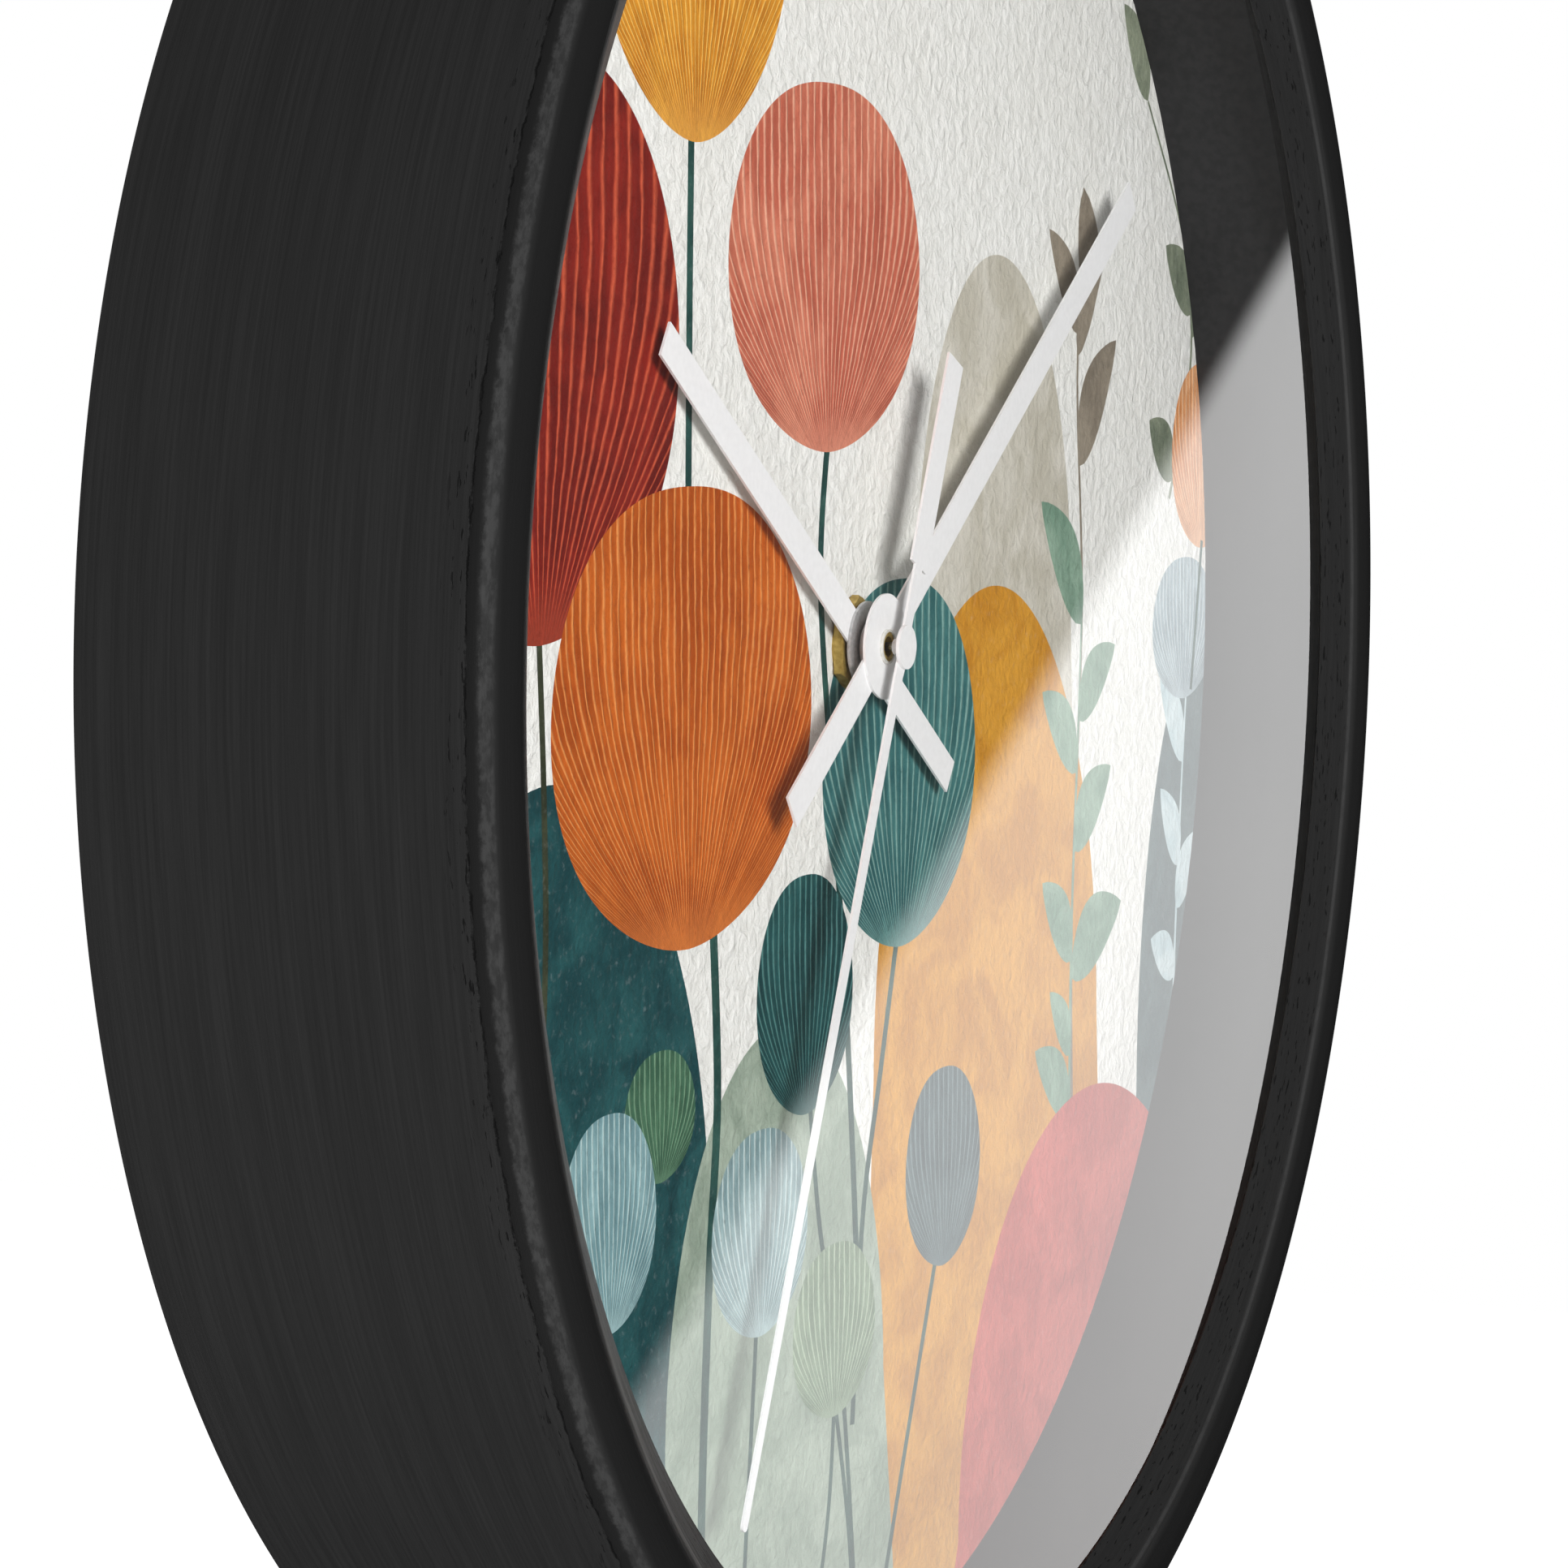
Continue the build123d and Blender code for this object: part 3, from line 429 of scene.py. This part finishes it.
def ribbed(name, dark, light, line, ribs):
    """A printed bloom: fine lines fan out from its foot and run on side by side above its middle."""
    paint = Paint(name, specular=PAPER_GLOSS)
    across, up, _ = paint.split(paint.node("ShaderNodeUVMap", uv_map="art").outputs[0])
    place_mm = paint.where()
    rise = paint.math("MINIMUM", paint.math("MULTIPLY", up, 1.35), 1.0)
    spread = paint.math("SINE", paint.math("MULTIPLY", rise, pi / 2))
    spread = paint.math("MULTIPLY_ADD", paint.math("MAXIMUM", spread, 0.0), 0.86, 0.14)
    sway = paint.noise(place_mm, 0.12, 3.0)
    fan = paint.math("DIVIDE", across, spread)
    fan = paint.math("MULTIPLY_ADD", paint.math("SUBTRACT", sway, 0.5), 0.05, fan)
    count = paint.math("MULTIPLY", fan, float(ribs))
    offset = paint.math("PINGPONG", count, 0.5)
    beside = paint.math("MULTIPLY", fan, ribs * 0.9)
    streak = paint.noise(paint.join(beside, paint.math("MULTIPLY", up, 2.5), 0.0))
    edge = paint.fade(streak, 0.3, 0.7, 0.14, 0.34)
    rib = paint.node("ShaderNodeMapRange", [(0, offset), (1, 0.0), (2, edge), (3, 1.0), (4, 0.0)],
                     interpolation_type="SMOOTHSTEP").outputs[0]
    worn = paint.noise(place_mm, 0.8, 3.0)
    rib = paint.math("MULTIPLY", rib, paint.fade(worn, 0.25, 0.6, 0.6, 1.0))
    rib = paint.math("MULTIPLY_ADD", paint.math("SUBTRACT", rib, 0.35), paint.fade(up, 0.0, 0.13), 0.35)
    cloud = paint.noise(place_mm, 0.08, 4.0, 0.6, 0.5)
    fleck = paint.noise(place_mm, 1.1, 4.0, 0.65)
    base = paint.blend(paint.fade(cloud, 0.35, 0.65), dark, light)
    base = paint.blend(paint.fade(streak, 0.6, 0.35, 0.0, 0.4), base, tuple(0.55 * c for c in dark))
    base = paint.blend(paint.math("MULTIPLY", rib, 0.85), base, line)
    paint.colour(paint.blend(paint.fade(fleck, 0.42, 0.25, 0.0, 0.45), base, tuple(0.6 * c for c in dark)))
    paint.rough(paint.fade(fleck, 0.3, 0.7, 0.7, 0.55))
    emboss = paint.noise(place_mm, *EMBOSS)
    paint.relief(paint.math("MULTIPLY_ADD", rib, 0.25, emboss), 0.3)
    return paint.material


def bloom_outline(foot, width, height, fullness=0.5, lean=0.0, steps=72):
    """A rounded bloom standing on its foot. fullness is how high its widest part lies."""
    right = []
    for step in range(steps + 1):
        turn = pi * step / steps
        lift = (1 - cos(turn)) / 2
        taper = 0.86 + 0.24 * (1 - lift) ** 3
        half = width / 2 * max(sin(turn), 0.0) ** taper
        right.append((half, lift + (fullness - 0.5) * sin(turn) ** 2))
    sides = [(x, up) for x, up in right] + [(-x, up) for x, up in reversed(right[1:-1])]
    return [(foot[0] + x + lean * up * up, foot[1] + up * height) for x, up in sides]


def hill_outline(top, half_width, rise, flare, steps=60):
    """A rounded arch with its top at a point, whose sides run down past the dial's edge."""
    points = []
    for step in range(steps + 1):
        turn = pi * step / steps
        points.append((top[0] - half_width * cos(turn), top[1] - rise + rise * sin(turn)))
    return [(points[0][0] - flare, HILL_LOW)] + points + [(points[-1][0] + flare, HILL_LOW)]


def smooth_path(points, steps=10):
    """A soft curve through the points."""
    ends = [points[0]] + list(points) + [points[-1]]
    path = []
    for a, b, c, d in zip(ends, ends[1:], ends[2:], ends[3:]):
        for step in range(steps):
            t = step / steps
            path.append(tuple(
                0.5 * (2 * b[k] + (c[k] - a[k]) * t + (2 * a[k] - 5 * b[k] + 4 * c[k] - d[k]) * t**2
                       + (3 * b[k] - a[k] - 3 * c[k] + d[k]) * t**3) for k in (0, 1)
            ))
    return path + [tuple(points[-1])]


def ribbon_outline(points, wide_start, wide_end):
    """A thin band along a soft curve."""
    path = smooth_path(points)
    left, right = [], []
    for index, (x, z) in enumerate(path):
        before = path[max(index - 1, 0)]
        after = path[min(index + 1, len(path) - 1)]
        run = hypot(after[0] - before[0], after[1] - before[1])
        side = (-(after[1] - before[1]) / run, (after[0] - before[0]) / run)
        half = (wide_start + (wide_end - wide_start) * index / (len(path) - 1)) / 2
        left.append((x + side[0] * half, z + side[1] * half))
        right.append((x - side[0] * half, z - side[1] * half))
    return left + right[::-1]


def leaf_outline(base, tip, width, bend=0.0, steps=14):
    """A pointed leaf from base to tip that bends sideways."""
    along = (tip[0] - base[0], tip[1] - base[1])
    length = hypot(*along)
    side = (-along[1] / length, along[0] / length)
    left, right = [], []
    for step in range(steps + 1):
        t = step / steps
        half = width / 2 * sin(pi * t ** 0.85) ** 0.8 if 0 < t < 1 else 0.0
        middle = bend * length * sin(pi * t)
        x = base[0] + along[0] * t + side[0] * middle
        z = base[1] + along[1] * t + side[1] * middle
        left.append((x + side[0] * half, z + side[1] * half))
        right.append((x - side[0] * half, z - side[1] * half))
    return left + right[-2:0:-1]


HILL_LOW = -150.0
PAPER, BEIGE, MUSTARD, MUSTARD_HILL, RED, PINK, ORANGE, TEAL, DEEP_TEAL = range(9)
TEAL_HILL, SAGE_HILL, CORAL_HILL, SLATE_HILL, LIGHT_BLUE, PALE_BLUE, GREEN = range(9, 16)
STEEL, SAGE, STEM, TAUPE_LEAF, GREEN_LEAF, ICE_LEAF = range(16, 22)
PEACH, MIST, OLIVE_STEM, SAGE_LEAF = range(22, 26)


def dial_paints():
    """The dial's printed colours, in the order of the names above."""
    return [
        paper(),
        wash("print_beige", srgb(186, 181, 166), srgb(206, 202, 190), 0.35),
        ribbed("print_mustard_bloom", srgb(196, 118, 22), srgb(222, 152, 44), srgb(244, 196, 104), 13),
        wash("print_mustard_hill", srgb(192, 130, 34), srgb(212, 152, 50), 0.4),
        ribbed("print_red_bloom", srgb(104, 22, 17), srgb(136, 34, 24), srgb(206, 92, 62), 11),
        ribbed("print_pink_bloom", srgb(190, 96, 74), srgb(212, 126, 100), srgb(236, 178, 150), 14),
        ribbed("print_orange_bloom", srgb(172, 76, 18), srgb(198, 98, 30), srgb(228, 150, 84), 19),
        ribbed("print_teal_bloom", srgb(46, 98, 100), srgb(70, 124, 122), srgb(140, 178, 170), 11),
        ribbed("print_deep_teal_bloom", srgb(20, 62, 64), srgb(34, 84, 84), srgb(92, 142, 138), 9),
        wash("print_teal_hill", srgb(18, 62, 66), srgb(34, 84, 86), 0.45),
        wash("print_sage_hill", srgb(138, 154, 138), srgb(162, 176, 160), 0.4),
        wash("print_coral_hill", srgb(180, 74, 66), srgb(200, 92, 82), 0.4),
        wash("print_slate_hill", srgb(64, 86, 90), srgb(84, 106, 108), 0.4),
        ribbed("print_blue_bloom", srgb(108, 146, 152), srgb(140, 176, 180), srgb(190, 214, 212), 9),
        ribbed("print_pale_blue_bloom", srgb(128, 156, 160), srgb(156, 182, 184), srgb(206, 222, 220), 9),
        ribbed("print_green_bloom", srgb(56, 96, 74), srgb(76, 118, 90), srgb(126, 162, 132), 7),
        ribbed("print_steel_bloom", srgb(66, 84, 90), srgb(86, 104, 108), srgb(128, 146, 148), 8),
        ribbed("print_sage_bloom", srgb(118, 140, 116), srgb(140, 160, 134), srgb(182, 198, 174), 8),
        wash("print_stem", srgb(28, 66, 62), srgb(48, 88, 80), 0.3),
        wash("print_taupe_leaf", srgb(122, 112, 98), srgb(148, 138, 122), 0.35),
        wash("print_green_leaf", srgb(110, 142, 122), srgb(140, 168, 148), 0.35),
        wash("print_ice_leaf", srgb(176, 198, 202), srgb(200, 216, 218), 0.25),
        ribbed("print_peach_bloom", srgb(216, 132, 62), srgb(232, 170, 120), srgb(246, 206, 168), 9),
        ribbed("print_mist_bloom", srgb(138, 158, 166), srgb(164, 182, 188), srgb(204, 214, 216), 9),
        wash("print_olive_stem", srgb(44, 50, 34), srgb(66, 72, 52), 0.3),
        wash("print_sage_leaf", srgb(104, 114, 96), srgb(142, 150, 128), 0.5),
    ]


def sprig(stem, leaf_paint, leaves, shapes, wide=0.9):
    """A stem and its leaves. Each leaf is (place on the stem, reach across, reach up, width)."""
    shapes.append((leaf_paint, ribbon_outline(stem, wide, wide * 0.6), None))
    path = smooth_path(stem)
    for share, across, up, width in leaves:
        base = path[round(share * (len(path) - 1))]
        tip = (base[0] + across, base[1] + up)
        bend = 0.08 if across > 0 else -0.08
        shapes.append((leaf_paint, leaf_outline(base, tip, width, bend), None))


def bloom(shapes, paint, foot, width, height, fullness=0.5, lean=0.0):
    """A ribbed bloom, with the foot and size that its lines are drawn from."""
    outline = bloom_outline(foot, width, height, fullness, lean)
    shapes.append((paint, outline, (foot, width, height)))


def dial_shapes():
    """Everything printed on the dial from back to front: (paint, outline, how its lines are drawn)."""
    shapes = []

    def hill(paint, top, half_width, rise, flare=4.0):
        shapes.append((paint, hill_outline(top, half_width, rise, flare), None))

    def stem(points, wide=1.5, paint=STEM):
        shapes.append((paint, ribbon_outline(points, wide, wide), None))

    hill(BEIGE, (44, 45), 25, 42, 8.0)
    hill(SLATE_HILL, (122, -2), 28, 62)
    hill(MUSTARD_HILL, (43, 5), 36, 56, 6.0)
    sprig([(112, -96), (108, -60), (110, -30), (113, -6)], ICE_LEAF,
          [(0.42, -9, 6, 6), (0.6, -7, 11, 6), (0.55, 9, 10, 6), (0.76, -9, 12, 6), (0.94, -4, 11, 4)],
          shapes)
    sprig([(71, -78), (70, -40), (73, 0), (71, 30), (73, 54)], TAUPE_LEAF,
          [(1.0, 1, -19, 7.5), (0.8, -10, 13, 6), (0.78, 11, 16, 5.5), (0.66, 13, 16, 8)], shapes)
    sprig([(70, -78), (69.5, -60), (70, -40), (71.5, -20), (73, 0)], GREEN_LEAF,
          [(0.98, -14, 16, 8.5), (0.83, 13, 9, 7), (0.76, -12, 11, 7), (0.62, 13, 10, 7.5),
           (0.45, -10, 11, 7), (0.42, 18, 8, 9), (0.3, -7, 9, 5), (0.2, -12, 10, 7), (0.16, 13, 6, 6)],
          shapes)
    sprig([(105, 14), (113, 32), (110, 48), (96, 66)], SAGE_LEAF,
          [(1.0, -9, 12, 6.5), (0.72, 8, 11, 5), (0.45, -10, 9, 7), (0.4, 7, 10, 5), (0.08, -9, 8, 7)],
          shapes, 0.8)
    hill(TEAL_HILL, (-74, -10), 37, 52, 6.0)
    hill(SAGE_HILL, (-19, -41), 29, 44, 8.0)
    bloom(shapes, MIST, (111, -13), 24, 19)
    bloom(shapes, PEACH, (118, 7), 24, 25)
    stem([(118, 8), (116, -2), (114, -12)], 0.9)
    stem([(-41, 57), (-41.5, 40), (-42, 14)])
    bloom(shapes, MUSTARD, (-40, 55), 50, 54, 0.55)
    stem([(-6, 24), (-8, 7), (-4, -20), (-1, -40), (1, -58), (3, -80)])
    bloom(shapes, PINK, (-6, 22), 52, 41, 0.5)
    stem([(-76, 6), (-75, -12), (-75, -30), (-78, -60)], 1.2, OLIVE_STEM)
    bloom(shapes, RED, (-76, 4), 64, 60, 0.5)
    stem([(-36, -28), (-35, -47), (-37, -65), (-39, -90), (-40, -118)], 1.9)
    bloom(shapes, ORANGE, (-42, -30), 63, 49, 0.5)
    stem([(14, -34), (9, -50), (4, -66), (1, -90)], 1.3)
    bloom(shapes, TEAL, (15, -36), 45, 43, 0.5)
    bloom(shapes, GREEN, (-49, -54), 17, 14)
    stem([(-61, -66), (-60, -80), (-58, -100)], 1.0)
    bloom(shapes, LIGHT_BLUE, (-61, -68), 22, 23)
    stem([(-11, -50), (-8, -66), (-2, -84), (2, -112)], 1.1)
    bloom(shapes, DEEP_TEAL, (-12, -52), 26, 27)
    stem([(-25, -73), (-27, -90), (-30, -115)], 1.0)
    bloom(shapes, PALE_BLUE, (-24, -75), 25, 23)
    stem([(26, -74), (20, -88), (8, -116)], 1.1)
    bloom(shapes, STEEL, (28, -76), 23, 24)
    stem([(-4, -86), (-6, -100), (-12, -118)], 1.0)
    stem([(-4, -86), (0, -102), (2, -118)], 1.0)
    bloom(shapes, SAGE, (-4, -88), 23, 20)
    hill(CORAL_HILL, (77, -61), 44, 50, 14.0)
    return shapes


def dial_print(hole_r, turns=720):
    """The dial: a card disc whose face is divided into the printed shapes."""
    shapes = dial_shapes()
    points, outlines = [], []

    def add_outline(outline):
        first = len(points)
        area = sum(a[0] * b[1] - b[0] * a[1] for a, b in zip(outline, outline[1:] + outline[:1]))
        points.extend(Vector(p) for p in (outline if area > 0 else outline[::-1]))
        outlines.append(list(range(first, len(points))))

    circle = [2 * pi * turn / turns for turn in range(turns)]
    add_outline([(DIAL_R * sin(a), DIAL_R * cos(a)) for a in circle])
    add_outline([(hole_r * sin(a), hole_r * cos(a)) for a in circle[::12]])
    for _, outline, _ in shapes:
        add_outline(outline)
    flat, _, faces, _, _, owners = delaunay_2d_cdt(points, [], outlines, 1, 1e-6, True)
    kept, paints, drawn = [], [], []
    for face, owner in zip(faces, owners):
        if 0 not in owner or 1 in owner:
            continue
        top = max(owner)
        shape = shapes[top - 2] if top >= 2 else (PAPER, None, None)
        kept.append(list(face))
        paints.append(shape[0])
        drawn.append(shape[2])
    used = sorted({i for face in kept for i in face})
    index = {old: new for new, old in enumerate(used)}
    count = len(used)
    front = [place(flat[i].x, DIAL_FACE, flat[i].y) for i in used]
    back = [place(flat[i].x, DIAL_BACK, flat[i].y) for i in used]
    front_faces = [[index[i] for i in face] for face in kept]
    back_faces = [[i + count for i in reversed(face)] for face in front_faces]
    seen = {}
    for face in front_faces:
        for a, b in zip(face, face[1:] + face[:1]):
            seen[(a, b)] = True
    walls = [[b, a, a + count, b + count] for a, b in seen if (b, a) not in seen]
    piece = add_mesh("dial_print", front + back, front_faces + back_faces + walls)
    for paint in dial_paints():
        piece.data.materials.append(paint)
    piece.data.polygons.foreach_set(
        "material_index", paints + [PAPER] * (len(back_faces) + len(walls)))
    art = piece.data.uv_layers.new(name="art")
    for polygon, lines in zip(piece.data.polygons, drawn):
        if lines:
            foot, width, height = lines
            for corner in polygon.loop_indices:
                at = piece.data.vertices[piece.data.loops[corner].vertex_index].co / MM
                art.data[corner].uv = (2 * (at.x - foot[0]) / width, (at.z - foot[1]) / height)
    return piece


# ---- pieces --------------------------------------------------------------------------------
def wear(node, material):
    """Gives a CAD node its material."""
    for slot in nodes[node].material_slots:
        slot.link = "OBJECT"
        slot.material = material


rim = turn_ring("turned_rim", rim_section(), RIM_TURNS, 35)
rim.data.materials.append(rim_paint())
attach(rim, "clock")
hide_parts("frame")

dial = dial_print(DIAL_HOLE_R)
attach(dial, "clock")
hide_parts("dial")

wear("lens", glass())
wear("spacer_ring", mottled(
    "spacer_card", srgb(27, 27, 28), srgb(34, 34, 35), 0.8, (0.62, 0.75), 0.03, specular=0.25))

hand_paint = mottled("hand_lacquer", srgb(235, 235, 235), srgb(241, 241, 241), 1.5, (0.42, 0.5), 0.004)
for hand in ("hour_hand", "minute_hand", "second_hand"):
    wear(hand, hand_paint)
wear("hour_collet", mottled(
    "hour_collet_satin", srgb(176, 176, 176), srgb(200, 200, 200), 2.0, (0.3, 0.4), 0.004, metal=0.5))
wear("minute_collet", minute_collet_paint())
wear("second_collet", hand_paint)

# material: dark and light tone, noise per mm, gloss range, relief in mm, metalness
FINISHES = {
    "brass": ((168, 140, 66), (204, 176, 98), 1.2, (0.28, 0.42), 0.01, 0.6),
    "bright_steel": ((140, 142, 144), (176, 178, 180), 1.5, (0.25, 0.4), 0.01, 1.0),
    "galvanised_steel": ((120, 124, 128), (166, 170, 174), 0.5, (0.35, 0.6), 0.02, 1.0),
    "stator_steel": ((120, 122, 122), (152, 154, 152), 0.8, (0.35, 0.5), 0.01, 1.0),
    "tin_can": ((170, 172, 172), (200, 202, 202), 1.2, (0.2, 0.35), 0.01, 1.0),
    "copper_wire": ((150, 74, 40), (196, 110, 66), 2.4, (0.3, 0.45), 0.05, 0.8),
    "magnet": ((40, 40, 42), (58, 58, 60), 2.0, (0.4, 0.6), 0.02, 0.6),
    "hardboard": ((92, 64, 42), (126, 92, 62), 1.6, (0.6, 0.85), 0.1, 0.0),
    "rubber": ((24, 24, 24), (34, 33, 32), 2.0, (0.7, 0.9), 0.03, 0.0),
    "black_abs": ((22, 22, 23), (30, 30, 31), 3.0, (0.42, 0.56), 0.02, 0.0),
    "grey_abs": ((60, 61, 63), (74, 75, 77), 3.0, (0.45, 0.6), 0.02, 0.0),
    "knob_plastic": ((54, 55, 57), (70, 71, 73), 2.5, (0.4, 0.55), 0.02, 0.0),
    "white_nylon": ((214, 212, 202), (228, 226, 218), 0.8, (0.35, 0.5), 0.01, 0.0),
    "circuit_green": ((18, 74, 42), (30, 96, 56), 0.7, (0.35, 0.5), 0.02, 0.0),
    "epoxy": ((14, 14, 15), (24, 24, 25), 1.2, (0.25, 0.4), 0.03, 0.0),
    "battery_label": ((52, 70, 84), (66, 86, 100), 0.5, (0.3, 0.4), 0.01, 0.0),
}
WORN_BY = {
    "brass": ("hex_nut", "front_washer", "minute_tube"),
    "bright_steel": ("second_arbor", "contact_positive", "contact_negative"),
    "galvanised_steel": ("glazing_points",),
    "stator_steel": ("stator",),
    "tin_can": ("crystal",),
    "copper_wire": ("coil_winding",),
    "magnet": ("rotor_magnet",),
    "hardboard": ("backing_board",),
    "rubber": ("rubber_washer",),
    "black_abs": ("case_front", "case_back"),
    "grey_abs": ("middle_plate",),
    "knob_plastic": ("setting_knob",),
    "white_nylon": ("coil_bobbin", "rotor_pinion", "step_wheel", "second_wheel", "third_wheel",
                    "centre_wheel", "motion_wheel", "hour_wheel"),
    "circuit_green": ("circuit_board",),
    "epoxy": ("chip",),
    "battery_label": ("battery",),
}
for name, (dark, light, scale, gloss, depth, metal) in FINISHES.items():
    finish = mottled(name, srgb(*dark), srgb(*light), scale, gloss, depth, metal=metal)
    for node in WORN_BY[name]:
        wear(node, finish)


# ---- camera, lights and floor --------------------------------------------------------------
def direction(azimuth, elevation):
    """Unit vector for an angle left of the front and an angle above level."""
    flat = cos(elevation)
    return Vector((-sin(azimuth) * flat, -cos(azimuth) * flat, sin(elevation)))


def aim(thing, at, target):
    """Puts a camera or light at a point, facing the target."""
    thing.location = at
    thing.rotation_euler = (target - at).to_track_quat("-Z", "Y").to_euler()


def add_camera():
    """The camera at the left of the clock and a little above its middle."""
    camera = bpy.data.objects.new("camera", bpy.data.cameras.new("camera"))
    camera.data.lens = VIEW_LENS
    camera.data.sensor_width = 36.0
    camera.data.clip_start = 0.01
    bpy.context.scene.collection.objects.link(camera)
    target = place(*VIEW_TARGET)
    aim(camera, target + direction(VIEW_AZIMUTH, VIEW_ELEVATION) * VIEW_DISTANCE * MM, target)
    bpy.context.scene.camera = camera


def add_softbox(name, azimuth, elevation, distance, size, power, shines):
    """A square light that faces the clock. Surfaces mirror it only where shines is true."""
    light = bpy.data.objects.new(name, bpy.data.lights.new(name, "AREA"))
    light.data.shape = "SQUARE"
    light.data.size = size
    light.data.energy = power
    bpy.context.scene.collection.objects.link(light)
    centre = place(0, RIM_DEPTH / 2, 0)
    aim(light, centre + direction(radians(azimuth), radians(elevation)) * distance, centre)
    light.visible_glossy = shines


def add_floor():
    """A wide pale floor under the clock."""
    corners = [
        (x * FLOOR_HALF, y * FLOOR_HALF, FLOOR_LOW) for x, y in ((-1, -1), (1, -1), (1, 1), (-1, 1))
    ]
    floor = add_mesh("floor", corners, [(0, 1, 2, 3)])
    paint = Paint("floor_white", rough=0.9, specular=0.0)
    grain = paint.noise(paint.where(), 0.01, 2.0)
    paint.colour(paint.blend(grain, (0.86, 0.86, 0.86), (0.9, 0.9, 0.9)))
    seen = paint.node("ShaderNodeLightPath").outputs["Is Camera Ray"]
    paint.set(paint.shader.inputs["Emission Color"], (1.0, 1.0, 1.0))
    paint.set(paint.shader.inputs["Emission Strength"], seen)
    floor.data.materials.append(paint.material)
    floor.visible_glossy = False


def add_glare_card():
    """A slanted white card at the front right, which only the glass mirrors."""
    edge_x, edge_z = CARD_CORNER

    def top(x):
        return edge_z + CARD_SLOPE * (x - edge_x) + CARD_MARGIN

    points = [
        (CARD_NEAR, CARD_FRONT, top(CARD_NEAR)), (CARD_FAR, CARD_FRONT, top(CARD_FAR)),
        (CARD_FAR, CARD_FRONT, CARD_LOW), (CARD_NEAR, CARD_FRONT, CARD_LOW),
    ]
    card = add_mesh("glare_card", points, [(0, 1, 2, 3)])
    paint = Paint("card_glow")
    tree = paint.tree
    tree.nodes.remove(paint.shader)
    x, _, z = paint.split(paint.where())
    run = paint.math("SUBTRACT", x, edge_x / MM)
    edge = paint.math("MULTIPLY_ADD", run, CARD_SLOPE, edge_z / MM)
    inside = paint.fade(paint.math("SUBTRACT", edge, z), *CARD_FADE)
    glow = paint.node("ShaderNodeEmission", [("Strength", CARD_GLOW)])
    clear = paint.node("ShaderNodeBsdfTransparent")
    mixed = paint.node("ShaderNodeMixShader", [(0, inside), (1, clear.outputs[0]), (2, glow.outputs[0])])
    tree.links.new(mixed.outputs[0], tree.nodes["Material Output"].inputs[0])
    paint.material.cycles.emission_sampling = "NONE"
    card.data.materials.append(paint.material)
    card.visible_camera = False
    card.visible_shadow = False
    glass_only = bpy.data.collections.new("glass_only")
    glass_only.objects.link(nodes["lens"])
    card.light_linking.receiver_collection = glass_only


def add_world():
    """White behind the clock, and a softer grey all round that lights it."""
    world = bpy.data.worlds.new("studio")
    world.use_nodes = True
    bpy.context.scene.world = world
    tree = world.node_tree
    background = tree.nodes["Background"]
    rays = tree.nodes.new("ShaderNodeLightPath")
    level = tree.nodes.new("ShaderNodeMix")
    level.data_type = "FLOAT"
    level.inputs["A"].default_value = FILL_LEVEL
    level.inputs["B"].default_value = MIRRORED_LEVEL
    tree.links.new(rays.outputs["Is Glossy Ray"], level.inputs["Factor"])
    shown = tree.nodes.new("ShaderNodeMix")
    shown.data_type = "FLOAT"
    shown.inputs["B"].default_value = SHOWN_LEVEL
    tree.links.new(rays.outputs["Is Camera Ray"], shown.inputs["Factor"])
    tree.links.new(level.outputs[0], shown.inputs["A"])
    tree.links.new(shown.outputs[0], background.inputs["Strength"])
    background.inputs["Color"].default_value = (1.0, 1.0, 1.0, 1.0)


bpy.context.scene.view_settings.view_transform = "Standard"
add_camera()
add_world()
add_floor()
add_glare_card()
for softbox in SOFTBOXES:
    add_softbox(*softbox)
